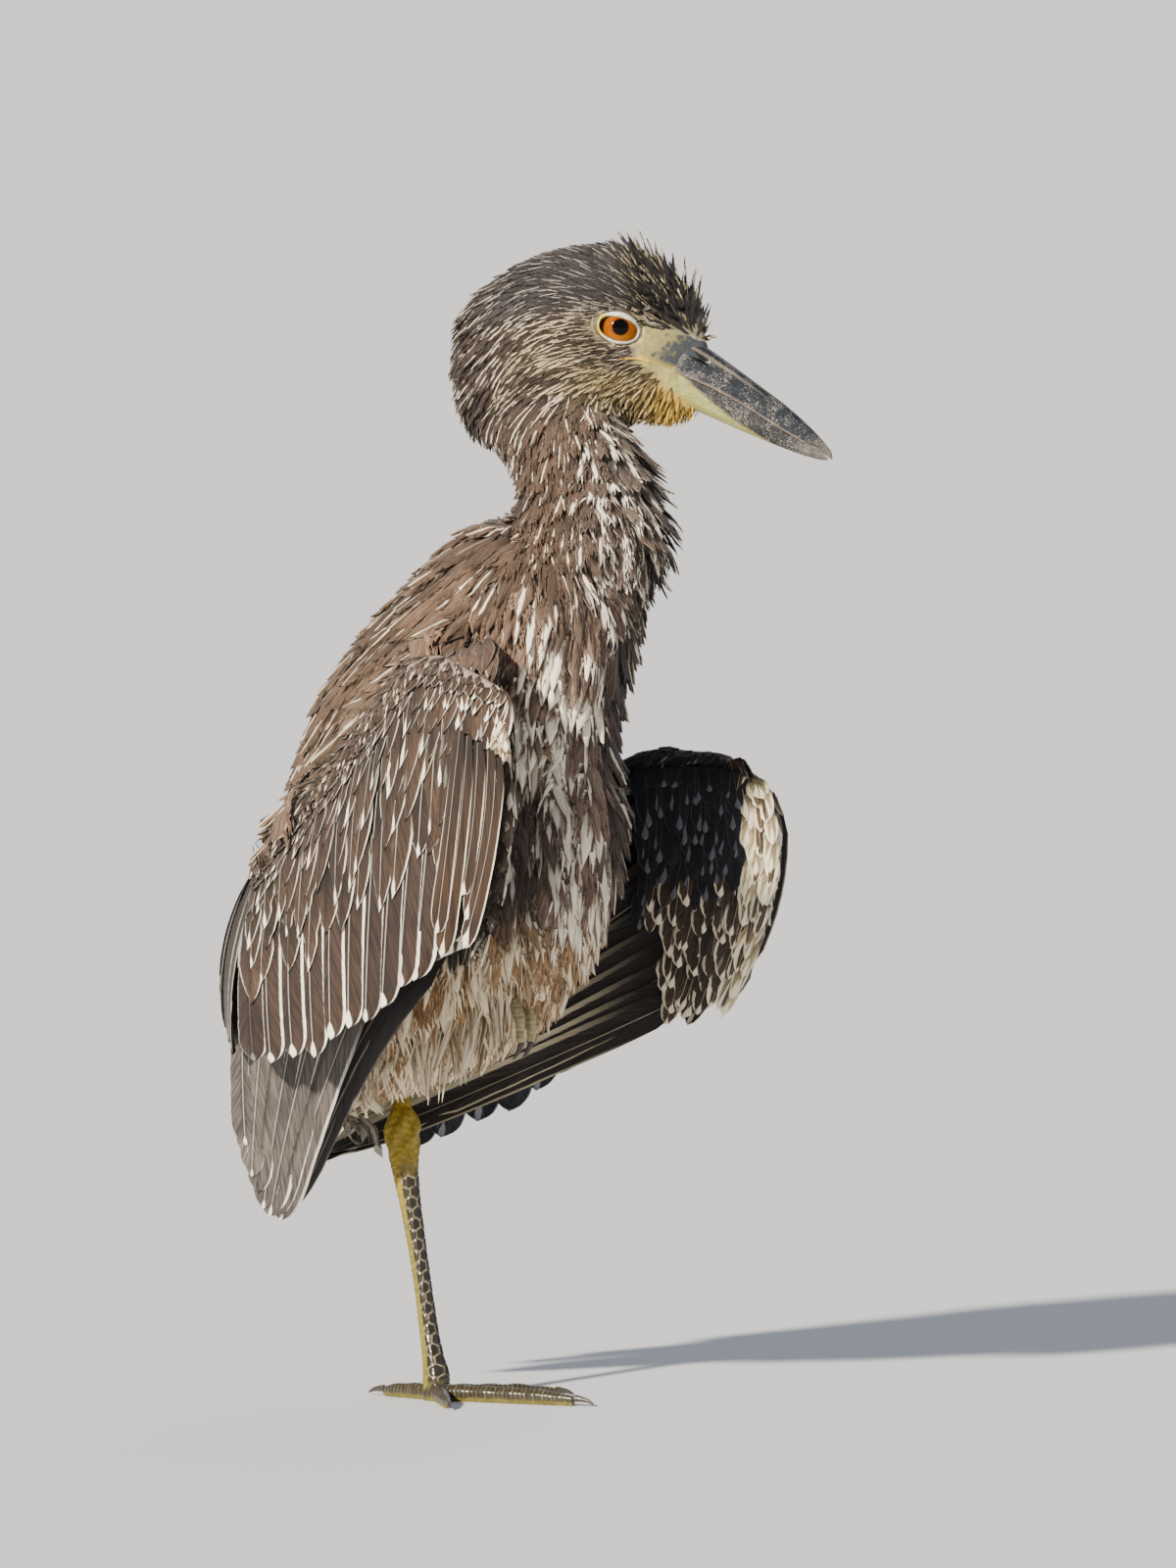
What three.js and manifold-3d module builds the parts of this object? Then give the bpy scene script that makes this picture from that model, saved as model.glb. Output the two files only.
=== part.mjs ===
// A juvenile yellow-crowned night heron, life-size. It stands upright on its left leg with the right
// foot drawn up into the belly feathers, both wings drooped and half open like a cloak, and its head
// turned to its left. Millimetres, +X is the way the body faces, +Y its left side and +Z up. The
// origin is the middle of the standing foot's sole, on the floor.
import * as THREE from 'three';
import { mergeVertices } from 'three/addons/utils/BufferGeometryUtils.js';
import Module from 'manifold-3d';

const wasm = await Module();
wasm.setup();

// Driving dimensions
const gap = 0.3; // air between two parts that touch
const neckTop = new THREE.Vector3(39.6, 0, 1); // what the head turns on
const headTurn = THREE.MathUtils.degToRad(28); // how far the head looks to the bird's left
const billRoot = new THREE.Vector3(48.9, 0, 408.4); // mouth line at the face, from the neck top
const billDroop = THREE.MathUtils.degToRad(28.05);
const billLength = 81;
const mouthGap = 0.4;
const eyeCentre = new THREE.Vector3(36.6, 10.4, 422);
const eyeRadius = 8.4;
const ankle = new THREE.Vector3(-19.5, 8, 104);
const soleLevel = 0;
const toeHeight = 3.2; // middle of a toe above the floor

const materials = {
  slate: { color: 0x4a4440, roughness: 0.85 },
  brown: { color: 0x6e5a4a, roughness: 0.85 },
  streaked: { color: 0x8a7767, roughness: 0.9 },
  covert: { color: 0x5f4f43, roughness: 0.8 },
  remex: { color: 0x4b4b50, roughness: 0.7 },
  hand: { color: 0xd9cbb0, roughness: 0.85 },
  bill: { color: 0x3a3d42, roughness: 0.45 },
  iris: { color: 0xe0701a, roughness: 0.1 },
  legSkin: { color: 0xa8a028, roughness: 0.55 },
  claw: { color: 0x2b2724, roughness: 0.4 },
};

const heron = new THREE.Group();

function addPart(name, geometry, finish, parent = heron) {
  const material = new THREE.MeshStandardMaterial({ ...materials[finish], metalness: 0 });
  const mesh = new THREE.Mesh(geometry, material);
  mesh.name = name;
  parent.add(mesh);
}

// Smooth values between rows of numbers, at t from 0, the first row, to 1, the last.
function along(rows, t) {
  const last = rows.length - 1;
  const place = Math.min(t * last, last - 1e-9);
  const i = Math.floor(place);
  const f = place - i;
  const row = (k) => rows[Math.min(Math.max(k, 0), last)];
  return rows[0].map((_, k) => {
    const [a, b, c, d] = [row(i - 1)[k], row(i)[k], row(i + 1)[k], row(i + 2)[k]];
    const curve = (2 * a - 5 * b + 4 * c - d) * f * f + (3 * b - 3 * c + d - a) * f ** 3;
    return 0.5 * (2 * b + (c - a) * f + curve);
  });
}

const pointAlong = (rows, t) => new THREE.Vector3(...along(rows, t));

// A closed geometry from points and triangles, with its faces pointing out.
function closedGeometry(points, faces) {
  let volume = 0;
  const corner = new THREE.Vector3();
  for (let i = 0; i < faces.length; i += 3) {
    const [a, b, c] = [points[faces[i]], points[faces[i + 1]], points[faces[i + 2]]];
    volume += corner.crossVectors(b, c).dot(a);
  }
  const outward = volume < 0 ? [...faces].reverse() : faces;
  const geometry = new THREE.BufferGeometry();
  const flat = new Float32Array(points.flatMap((point) => point.toArray()));
  geometry.setAttribute('position', new THREE.BufferAttribute(flat, 3));
  geometry.setIndex(outward);
  return geometry;
}

// A solid through a row of rings of equal count, closed by a fan at each end.
function loft(rings) {
  const count = rings[0].length;
  const points = rings.flat();
  const faces = [];
  for (let r = 0; r + 1 < rings.length; r += 1) {
    for (let i = 0; i < count; i += 1) {
      const a = r * count + i;
      const b = r * count + ((i + 1) % count);
      faces.push(a, b, b + count, a, b + count, a + count);
    }
  }
  for (const [r, turn] of [[0, 1], [rings.length - 1, -1]]) {
    const middle = new THREE.Vector3();
    rings[r].forEach((point) => middle.addScaledVector(point, 1 / count));
    points.push(middle);
    for (let i = 0; i < count; i += 1) {
      const pair = [r * count + i, r * count + ((i + 1) % count)];
      faces.push(points.length - 1, ...(turn > 0 ? pair.reverse() : pair));
    }
  }
  return closedGeometry(points, faces);
}

// A body of level oval slices. Rows hold height, middle x, middle y, half depth and half width.
function slices(rows, levels, around, grow = 0) {
  const rings = [];
  for (let j = 0; j <= levels; j += 1) {
    const [z, x, y, depth, width] = along(rows, j / levels);
    const lift = j === 0 ? -grow : j === levels ? grow : 0;
    const ring = [];
    for (let i = 0; i < around; i += 1) {
      const angle = (i / around) * 2 * Math.PI;
      ring.push(new THREE.Vector3(
        x + (depth + grow) * Math.cos(angle), y + (width + grow) * Math.sin(angle), z + lift));
    }
    rings.push(ring);
  }
  return loft(rings);
}

// A limb along a path. Rows hold x, y, z, radius, and how far the section is flattened sideways.
function limb(rows, steps, around, grow = 0) {
  const rings = [];
  for (let j = 0; j <= steps; j += 1) {
    const t = j / steps;
    const [x, y, z, radius, flat] = along(rows, t);
    const ahead = pointAlong(rows.map((row) => row.slice(0, 3)), Math.min(t + 0.02, 1));
    const behind = pointAlong(rows.map((row) => row.slice(0, 3)), Math.max(t - 0.02, 0));
    const forward = ahead.sub(behind).normalize();
    const across = new THREE.Vector3(0, 1, 0).addScaledVector(forward, -forward.y).normalize();
    const up = new THREE.Vector3().crossVectors(forward, across);
    const end = j === 0 ? -grow : j === steps ? grow : 0;
    const ring = [];
    for (let i = 0; i < around; i += 1) {
      const angle = ((i + 0.5) / around) * 2 * Math.PI;
      ring.push(new THREE.Vector3(x, y, z)
        .addScaledVector(up, (radius + grow) * Math.cos(angle))
        .addScaledVector(across, (radius * flat + grow) * Math.sin(angle))
        .addScaledVector(forward, end));
    }
    rings.push(ring);
  }
  return loft(rings);
}

// A curved sheet of feathers lying edge over edge: it hangs from the root line, passes the middle
// line's pull and ends at the tip line, where each feather has a rounded tip.
function vanes({ root, middle, tip, feathers, perFeather, rows, thickness, notch }) {
  const columns = feathers * perFeather;
  const surface = (s, t) => {
    const [a, b, c] = [root, middle, tip].map((line) => pointAlong(line, s));
    return a.multiplyScalar((1 - t) ** 2).addScaledVector(b, 2 * t * (1 - t)).addScaledVector(c, t * t);
  };
  const front = [];
  const back = [];
  for (let i = 0; i <= columns; i += 1) {
    const s = i / columns;
    const fromMiddle = Math.abs(((i % perFeather) / perFeather) * 2 - 1);
    const reach = 1 - notch * fromMiddle ** 2;
    for (let j = 0; j <= rows; j += 1) {
      const t = (j / rows) * reach;
      const point = surface(s, t);
      const alongRoot = surface(Math.min(s + 0.01, 1), t).sub(surface(Math.max(s - 0.01, 0), t));
      const alongVane = surface(s, Math.min(t + 0.01, 1)).sub(surface(s, Math.max(t - 0.01, 0)));
      const normal = alongRoot.cross(alongVane).normalize();
      const half = THREE.MathUtils.lerp(thickness[0], thickness[1], t) / 2;
      front.push(point.clone().addScaledVector(normal, half));
      back.push(point.clone().addScaledVector(normal, -half));
    }
  }
  const points = [...front, ...back];
  const faces = [];
  const at = (i, j, side) => side * front.length + i * (rows + 1) + j;
  const quad = (a, b, c, d) => faces.push(a, b, c, a, c, d);
  for (let i = 0; i < columns; i += 1) {
    for (let j = 0; j < rows; j += 1) {
      quad(at(i, j, 0), at(i + 1, j, 0), at(i + 1, j + 1, 0), at(i, j + 1, 0));
      quad(at(i, j, 1), at(i, j + 1, 1), at(i + 1, j + 1, 1), at(i + 1, j, 1));
    }
    quad(at(i, 0, 0), at(i, 0, 1), at(i + 1, 0, 1), at(i + 1, 0, 0));
    quad(at(i, rows, 0), at(i + 1, rows, 0), at(i + 1, rows, 1), at(i, rows, 1));
  }
  for (let j = 0; j < rows; j += 1) {
    quad(at(0, j, 0), at(0, j + 1, 0), at(0, j + 1, 1), at(0, j, 1));
    quad(at(columns, j, 0), at(columns, j, 1), at(columns, j + 1, 1), at(columns, j + 1, 0));
  }
  return closedGeometry(points, faces);
}

function toSolid(geometry) {
  const bare = geometry.clone();
  bare.deleteAttribute('normal');
  bare.deleteAttribute('uv');
  const merged = mergeVertices(bare, 1e-4);
  const mesh = new wasm.Mesh({
    numProp: 3,
    vertProperties: new Float32Array(merged.attributes.position.array),
    triVerts: new Uint32Array(merged.index.array),
  });
  return new wasm.Manifold(mesh);
}

// The largest piece of a shape once others are cut from it.
function cut(geometry, ...tools) {
  const rest = tools.reduce((solid, tool) => solid.subtract(toSolid(tool)), toSolid(geometry));
  const largest = rest.decompose().sort((a, b) => b.volume() - a.volume())[0];
  const mesh = largest.getMesh();
  const result = new THREE.BufferGeometry();
  result.setAttribute('position', new THREE.BufferAttribute(mesh.vertProperties, 3));
  result.setIndex(new THREE.BufferAttribute(mesh.triVerts, 1));
  return result;
}

// Trunk: deep-chested, leaning back at about sixty degrees, rounded off below by the belly feathers.
const trunkRows = [
  [111, -39, 0, 4, 4],
  [118, -36, 0, 11, 10],
  [126, -30, 0, 20, 17],
  [136, -17, 0, 36, 31],
  [152, -8, 0, 53, 42],
  [174, -3, 0, 65, 49],
  [200, 4, 0, 71, 52],
  [228, 7, 0, 73, 54],
  [256, 10, 0, 66, 54],
  [281, 16, 0, 62, 53],
  [303, 29, 0, 57, 50],
  [320, 40, 0, 51, 44],
  [335, 44, 0, 42, 35],
  [345, 44, 0, 30, 25],
  [350, 42, 0, 14, 12],
];
const trunk = (grow) => slices(trunkRows, 16, 22, grow);
addPart('trunk', trunk(0), 'streaked');

// Neck: short and thick, drawn up in a bend between the shoulders and the nape.
const neckRows = [
  [318, 66, 0, 24, 22],
  [335, 67, 0, 34, 30],
  [347, 67, 0, 34, 28],
  [356, 68, 0, 30, 26],
  [366, 65.5, 0, 29, 25],
  [377, 60, 0, 31, 24],
  [388, 53, 1, 31, 22],
  [400, 47, 2, 24, 17],
];
const neck = (grow) => slices(neckRows, 8, 16, grow);

// Head: a deep feathered skull with the fore-crown raised. Rows hold x, top, bottom and half width.
const headRows = [
  [-26, 413, 402, 4],
  [-24, 424, 395, 9],
  [-19, 436, 388, 14.5],
  [-10, 444, 384, 19],
  [2, 450, 382, 22],
  [15, 454, 382, 23],
  [27, 455.5, 383, 20.5],
  [38, 455.5, 384, 16.4],
  [48, 451, 384, 12.4],
  [57, 446.5, 383.5, 9],
  [65, 438.5, 385.5, 6],
  [70, 430, 390, 4.4],
  [73, 421, 400, 2.4],
];
const cheekHeight = 0.42; // where the head is widest, as a share of its depth

function head(grow) {
  const rings = [];
  const around = 18;
  const steps = 13;
  for (let j = 0; j <= steps; j += 1) {
    const [x, top, bottom, width] = along(headRows, j / steps);
    const middle = bottom + cheekHeight * (top - bottom);
    const end = j === 0 ? -grow : j === steps ? grow : 0;
    const ring = [];
    for (let i = 0; i < around; i += 1) {
      const angle = (i / around) * 2 * Math.PI;
      const height = Math.sin(angle) > 0 ? top - middle : middle - bottom;
      ring.push(new THREE.Vector3(
        x + end, (width + grow) * Math.cos(angle), middle + (height + grow) * Math.sin(angle)));
    }
    rings.push(ring);
  }
  return loft(rings);
}

const headGroup = new THREE.Group();
headGroup.position.copy(neckTop);
headGroup.rotation.z = headTurn;
heron.add(headGroup);
headGroup.updateMatrix();

const placedHead = head(gap).applyMatrix4(headGroup.matrix);
addPart('neck', cut(neck(0), trunk(gap), placedHead), 'streaked');

const eyeSides = { right: -1, left: 1 };
const eye = (side, radius) => new THREE.SphereGeometry(radius, 12, 8)
  .rotateX(Math.PI / 2)
  .translate(eyeCentre.x, side * eyeCentre.y, eyeCentre.z);
const sockets = Object.values(eyeSides).map((side) => eye(side, eyeRadius + gap));
addPart('head', cut(head(0), ...sockets), 'slate', headGroup);
for (const [name, side] of Object.entries(eyeSides)) {
  addPart(`eye_${name}`, eye(side, eyeRadius), 'iris', headGroup);
}

// Bill: stout and straight, the two mandibles meeting along the mouth line. Rows hold the distance
// from the root, height of the mouth line, height of the outer edge and half width.
const upperBillRows = [
  [-6, -0.8, 13, 8.2],
  [6, 0.8, 16, 8.3],
  [16, 1.7, 15.6, 7.9],
  [27, 2.4, 14.3, 7.2],
  [41, 2.1, 12.2, 6.2],
  [55, 1, 10, 4.9],
  [66, 0.5, 7.3, 3.7],
  [74, 0.1, 4.7, 2.6],
  [79, -0.2, 2.4, 1.5],
  [billLength, -0.4, 0.2, 0.4],
];
const lowerBillRows = [
  [-6, -1.2, -8.4, 7.4],
  [8, 0.8, -8.9, 7.6],
  [22, 2, -8.7, 6.8],
  [34, 2.4, -7.8, 5.9],
  [46, 1.6, -6.9, 4.9],
  [58, 0.8, -5.8, 3.9],
  [68, 0.3, -4.5, 2.9],
  [75, -0.1, -3.1, 2],
  [79.5, -0.6, -1.6, 0.9],
];

function mandible(rows, steps) {
  const around = 10;
  const rings = [];
  for (let j = 0; j <= steps; j += 1) {
    const [x, mouth, edge, width] = along(rows, j / steps);
    const ring = [];
    for (let i = 0; i <= around; i += 1) {
      const angle = (i / around) * Math.PI;
      const inner = Math.sign(edge - mouth) * (mouthGap / 2);
      const height = mouth + inner + (edge - mouth - inner) * Math.sin(angle) ** 0.9;
      ring.push(new THREE.Vector3(x, width * Math.cos(angle), height));
    }
    rings.push(ring);
  }
  return loft(rings);
}

const billGroup = new THREE.Group();
billGroup.position.copy(billRoot);
billGroup.rotation.y = billDroop;
headGroup.add(billGroup);
billGroup.updateMatrix();

const headAtBill = head(gap).applyMatrix4(billGroup.matrix.clone().invert());
addPart('bill_upper', cut(mandible(upperBillRows, 10), headAtBill), 'bill', billGroup);
addPart('bill_lower', cut(mandible(lowerBillRows, 8), headAtBill), 'bill', billGroup);

// Tail: short and square, a closed fan of broad feathers below the rump.
addPart('tail', cut(vanes({
  root: [[-40, -15, 168], [-43, 0, 170], [-40, 15, 168]],
  middle: [[-62, -18, 126], [-66, 0, 126], [-62, 18, 126]],
  tip: [[-71, -15, 86], [-74, 0, 81], [-71, 15, 86]],
  feathers: 6,
  perFeather: 2,
  rows: 3,
  thickness: [7, 1.6],
  notch: 0.06,
}), trunk(gap)), 'remex');

// Wings: the forearm line runs from the wrist, up in front, to the elbow behind the flank. The
// secondaries hang from it, and the primaries fold under them from the hand to beside the tail.
// Lines are for the right wing, as x, distance from the middle of the body, and z.
const wings = {
  right: {
    side: -1,
    shoulder: [34, 38, 300],
    forearm: [[82.5, 97.5, 284], [62, 97, 291], [43.5, 94, 292], [13, 84, 262], [-16, 76.5, 233.5],
      [-40, 71, 208]],
    secondaryTips: [[62.5, 93.5, 186.5], [46, 98, 174.5], [23, 96.5, 156.5], [-4.5, 90.5, 141.5],
      [-36.5, 81.5, 136.5]],
    hand: [[80, 98, 279], [87, 108, 262], [88, 111, 240], [82, 106, 203], [66, 95, 180]],
    primaryRoots: [[77, 94, 250], [78, 95, 216], [64, 86, 184]],
    primaryPull: [[-30, 66, 178], [-4, 70, 170], [7, 67, 154]],
    primaryTips: [[-61, 44, 101], [-62, 36, 85], [-60, 28.5, 73], [-56, 23, 71]],
  },
  left: {
    side: 1,
    shoulder: [34, 38, 290],
    forearm: [[82.5, 97.5, 250], [62, 97, 249], [43.5, 94, 247], [13, 84, 226], [-16, 76.5, 196],
      [-42, 69, 168]],
    secondaryTips: [[66, 94, 160], [46, 97, 144], [18, 92, 129], [-12, 82, 108], [-48, 66, 92]],
    hand: [[80, 98, 247], [88, 109, 236], [90, 113, 217], [84, 108, 177], [71, 97, 153]],
    primaryRoots: [[77, 94, 224], [78, 95, 190], [68, 87, 157]],
    primaryPull: [[-26, 62, 150], [0, 66, 140], [10, 66, 128]],
    primaryTips: [[-58, 42, 104], [-65, 34, 95], [-70, 27, 89], [-73, 22, 87]],
  },
};
// How far the hanging feathers belly forwards and outwards, from the wrist to the elbow
const wingBow = [[22, 21], [9, 15], [2, 12], [0, 12], [0, 12]];
const barRadius = { shoulder: 15, elbow: 10, forearm: 7, hand: 8 };

const mirror = (rows, side) => rows.map(([x, y, z, ...rest]) => [x, side * y, z, ...rest]);
const bowed = (from, to) => wingBow.map(([forwards, outwards], i) => {
  const s = i / (wingBow.length - 1);
  const [a, b] = [along(from, s), along(to, s)];
  return [(a[0] + b[0]) / 2 + forwards, (a[1] + b[1]) / 2 + outwards, (a[2] + b[2]) / 2];
});

for (const [name, wing] of Object.entries(wings)) {
  const { side, shoulder, forearm, secondaryTips, hand } = wing;
  const { primaryRoots, primaryPull, primaryTips } = wing;
  const elbow = forearm[forearm.length - 1];
  const bar = (rows, radii) => rows.map((row, i) => [...row, ...along(radii, i / (rows.length - 1))]);

  const { shoulder: thick, elbow: thin, forearm: slim, hand: palm } = barRadius;
  const upperArmRows = bar(
    [shoulder, shoulder.map((value, k) => (value + elbow[k]) / 2 + (k === 1 ? 9 : 0)),
      [elbow[0] + 3, elbow[1] - 6, elbow[2] + 3]],
    [[thick, 1], [thick * 0.9, 0.8], [thin, 0.7]]);
  const forearmRows = bar(
    forearm, [[slim * 0.6, 0.8], [slim, 0.8], [slim * 1.2, 0.8], [slim, 0.8], [slim * 0.8, 0.8]]);
  const handRows = bar(hand, [[palm * 0.6, 0.6], [palm, 0.7], [palm * 0.9, 0.6], [palm * 0.4, 0.6]]);
  const forearmBar = (grow) => limb(mirror(forearmRows, side), 10, 7, grow);
  const handBar = (grow) => limb(mirror(handRows, side), 7, 8, grow);

  const upperArm = (grow) => limb(mirror(upperArmRows, side), 5, 10, grow);

  addPart(`wing_${name}_upper_arm`, cut(upperArm(0), trunk(gap), forearmBar(gap)), 'brown');
  addPart(`wing_${name}_forearm`, cut(forearmBar(0), handBar(gap)), 'covert');
  addPart(`wing_${name}_hand`, handBar(0), 'hand');

  const secondaries = (extra) => vanes({
    root: mirror(forearm, side),
    middle: mirror(bowed(forearm, secondaryTips), side),
    tip: mirror(secondaryTips, side),
    feathers: 12,
    perFeather: 2,
    rows: 4,
    thickness: [6 + extra, 1.6 + extra],
    notch: 0.045,
  });
  addPart(`wing_${name}_secondaries`, cut(
    secondaries(0), forearmBar(gap), handBar(gap)), 'covert');

  const primaries = (extra) => vanes({
    root: mirror(primaryRoots, side),
    middle: mirror(primaryPull, side),
    tip: mirror(primaryTips, side),
    feathers: 9,
    perFeather: 2,
    rows: 5,
    thickness: [3.4 + extra, 1.6 + extra],
    notch: 0.03,
  });
  addPart(`wing_${name}_primaries`, cut(
    primaries(0), handBar(gap), secondaries(2 * gap), trunk(gap)), 'remex');

  const drop = forearm[5][2] - wings.right.forearm[5][2];
  const hang = (rows) => mirror(rows.map(([x, y, z]) => [x, y, z + drop]), side);
  addPart(`wing_${name}_tertials`, cut(vanes({
    root: hang([[-34, 60, 226], [-42, 52, 218], [-48, 42, 212]]),
    middle: hang([[-58, 72, 184], [-70, 60, 182], [-74, 44, 182]]),
    tip: hang([[-52, 68, 139], [-60, 52, 138], [-63, 38, 148]]),
    feathers: 4,
    perFeather: 2,
    rows: 3,
    thickness: [4, 1.6],
    notch: 0.08,
  }), trunk(gap), secondaries(2 * gap), primaries(2 * gap), forearmBar(gap), upperArm(gap)), 'covert');

  // The alula lies along the outer face of the hand.
  addPart(`wing_${name}_alula`, cut(limb(mirror([
    [...hand[1], 2.2, 0.5], [...hand[2], 3, 0.5], [...hand[3], 2, 0.5],
  ].map(([x, y, z, ...rest]) => [x - 5, y + 7, z - 6, ...rest]), side), 5, 6), handBar(gap)), 'covert');
}

// Standing leg: feathered thigh, bare shank, knobbly ankle and a long tarsus down to the toes.
const knee = [8, 27, 182];
const shinTop = [-20, 12, 130];
const thigh = (grow) => limb([
  [...knee, 24, 1], [-6, 24, 158, 25, 1], [-15, 18, 141, 18, 1], [...shinTop, 8.5, 1],
  [-20.5, 10.8, 124, 4.4, 1],
], 8, 14, grow);
const shankRows = [[-14, 13.5, 146, 3.4, 0.9], [-20.5, 10.8, 126, 3, 0.9],
  [-20.5, 9, 115, 3.8, 0.9], [...ankle.toArray(), 5, 0.9]];
const tarsusRows = [
  [ankle.x - 0.4, ankle.y + 0.5, ankle.z + 9.5, 4.4, 0.8],
  [ankle.x, ankle.y, ankle.z + 3, 7.2, 0.8],
  [ankle.x + 0.8, ankle.y - 0.6, ankle.z - 7, 6.3, 0.8],
  [ankle.x + 3, ankle.y - 1.4, ankle.z - 21, 4.5, 0.8],
  [-9.5, 4, 52, 3.4, 0.8],
  [-3.5, 1.6, 22, 3.8, 0.85],
  [-0.6, 0.4, 11, 5, 0.95],
  [0, 0, 5, 5.6, 1],
];
const tarsus = (grow) => limb(tarsusRows, 13, 8, grow);
const pad = (grow) => slices([
  [soleLevel, 0, 0, 6, 5.4],
  [2.5, 0, 0, 7, 6.4],
  [6, 0, 0, 5.4, 5],
], 4, 12, grow);
addPart('thigh_left', cut(thigh(0), trunk(gap)), 'streaked');
addPart('shank_left', cut(limb(shankRows, 5, 8), thigh(gap), trunk(gap), tarsus(gap)), 'legSkin');
addPart('foot_left_pad', pad(0), 'legSkin');
addPart('tarsus_left', cut(tarsus(0), pad(gap)), 'legSkin');

// Toes: each is a low ridge from the pad, flat below where it bears on the floor, with a claw.
const toes = {
  hind: { heading: 165, length: 28, claw: 9, radius: 3.5 },
  inner: { heading: -55, length: 38, claw: 9, radius: 3.5 },
  middle: { heading: 2, length: 60, claw: 9, radius: 3.8 },
  outer: { heading: 42, length: 48, claw: 8, radius: 3.5 },
};
const floorBlock = new THREE.BoxGeometry(300, 300, 40).translate(0, 0, soleLevel - 20);

const toeAt = ({ heading }, distance, height, r) => {
  const angle = THREE.MathUtils.degToRad(heading);
  return [distance * Math.cos(angle), distance * Math.sin(angle), height, r, 0.85];
};
const toe = (kind, grow) => limb([
  toeAt(kind, 3, toeHeight, kind.radius * 1.05),
  toeAt(kind, kind.length * 0.3, toeHeight, kind.radius),
  toeAt(kind, kind.length * 0.55, toeHeight, kind.radius * 0.95),
  toeAt(kind, kind.length * 0.8, toeHeight - 0.2, kind.radius * 0.9),
  toeAt(kind, kind.length, toeHeight - 0.7, kind.radius * 0.75),
], 5, 8, grow);

for (const [name, kind] of Object.entries(toes)) {
  const beside = kind === toes.middle ? [] : [toe(toes.middle, gap)];
  addPart(`toe_left_${name}`, cut(
    toe(kind, 0), pad(gap), tarsus(gap), floorBlock, ...beside), 'legSkin');
  const claw = limb([
    toeAt(kind, kind.length - 3, 2.7, 1.8),
    toeAt(kind, kind.length + kind.claw * 0.45, 3.1, 1.4),
    toeAt(kind, kind.length + kind.claw, 1, 0.35),
  ], 3, 6);
  addPart(`claw_left_${name}`, cut(claw, toe(kind, gap), floorBlock), 'claw');
}

// Tucked foot: the right leg is folded up into the belly, and two toes hang out of the feathers.
const tuckedToes = { inner: -20, middle: -12 };
for (const [name, y] of Object.entries(tuckedToes)) {
  const toe = (grow) => limb([
    [34, y, 166, 4, 0.85], [44, y, 160, 3.8, 0.85], [49, y, 152, 3.4, 0.85], [49, y, 144, 2.6, 0.85],
  ], 6, 8, grow);
  addPart(`toe_right_${name}`, cut(toe(0), trunk(gap)), 'legSkin');
  addPart(`claw_right_${name}`, cut(limb([
    [49, y, 146, 1.5, 0.85], [48, y, 141, 1.2, 0.85], [45, y, 137, 0.4, 0.85],
  ], 3, 8), toe(gap), trunk(gap)), 'claw');
}

export default heron;
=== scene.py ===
import math

import bmesh
import bpy
import numpy as np
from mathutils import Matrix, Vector
from mathutils.bvhtree import BVHTree


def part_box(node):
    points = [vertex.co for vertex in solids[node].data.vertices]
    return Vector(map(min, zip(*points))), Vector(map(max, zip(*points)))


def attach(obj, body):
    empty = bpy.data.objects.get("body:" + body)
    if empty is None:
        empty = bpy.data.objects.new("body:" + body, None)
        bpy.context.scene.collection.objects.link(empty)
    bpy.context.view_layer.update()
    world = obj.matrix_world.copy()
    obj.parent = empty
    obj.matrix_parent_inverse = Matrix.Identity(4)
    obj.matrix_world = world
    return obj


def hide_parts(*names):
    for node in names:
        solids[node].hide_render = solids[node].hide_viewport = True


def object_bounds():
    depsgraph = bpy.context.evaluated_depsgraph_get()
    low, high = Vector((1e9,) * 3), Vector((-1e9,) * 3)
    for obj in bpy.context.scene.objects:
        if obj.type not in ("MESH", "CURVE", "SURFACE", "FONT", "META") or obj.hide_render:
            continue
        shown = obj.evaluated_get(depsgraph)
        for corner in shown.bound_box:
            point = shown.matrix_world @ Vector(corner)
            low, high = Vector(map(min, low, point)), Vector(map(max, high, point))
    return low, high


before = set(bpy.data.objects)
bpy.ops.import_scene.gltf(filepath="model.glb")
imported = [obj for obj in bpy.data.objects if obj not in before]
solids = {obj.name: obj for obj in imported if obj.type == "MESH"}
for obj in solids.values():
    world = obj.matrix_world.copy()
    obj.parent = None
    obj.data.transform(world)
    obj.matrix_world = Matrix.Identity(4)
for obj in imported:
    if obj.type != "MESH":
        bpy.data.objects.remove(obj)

# ------------------------------------------------------------
# The stage: a plain pale floor under plain soft light. The camera stands a long way off, three
# degrees above the level of the bird, as a long lens sees it from its right side.
solid_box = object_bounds()
MM = 0.001
scene = bpy.context.scene


def paint(code):
    """A colour written as #rrggbb, in the linear values that shaders use."""
    parts = [int(code[i:i + 2], 16) / 255 for i in (1, 3, 5)]
    linear = [c / 12.92 if c <= 0.04045 else ((c + 0.055) / 1.055) ** 2.4 for c in parts]
    return (*linear, 1.0)


class Flow:
    """A result that comes out of a node. Arithmetic on it adds the node that works it out."""

    def __init__(self, socket):
        self.socket = socket
        self.tree = socket.id_data


def feed(node, feeds):
    """Sets the sockets of a node to values, or links them to flows."""
    for key, value in feeds.items():
        if isinstance(value, Flow):
            node.id_data.links.new(value.socket, node.inputs[key])
        else:
            node.inputs[key].default_value = value


def put(tree, kind, feeds=None, out=0, **settings):
    """One of the flows from a new node with these settings and feeds."""
    node = tree.nodes.new(kind)
    for key, value in settings.items():
        setattr(node, key, value)
    feed(node, feeds or {})
    return Flow(node.outputs[out]) if node.outputs else None


def tree_of(*feeds):
    return next(value.tree for value in feeds if isinstance(value, Flow))


def maths(operation, *feeds):
    return put(tree_of(*feeds), "ShaderNodeMath", dict(enumerate(feeds)), operation=operation)


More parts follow.
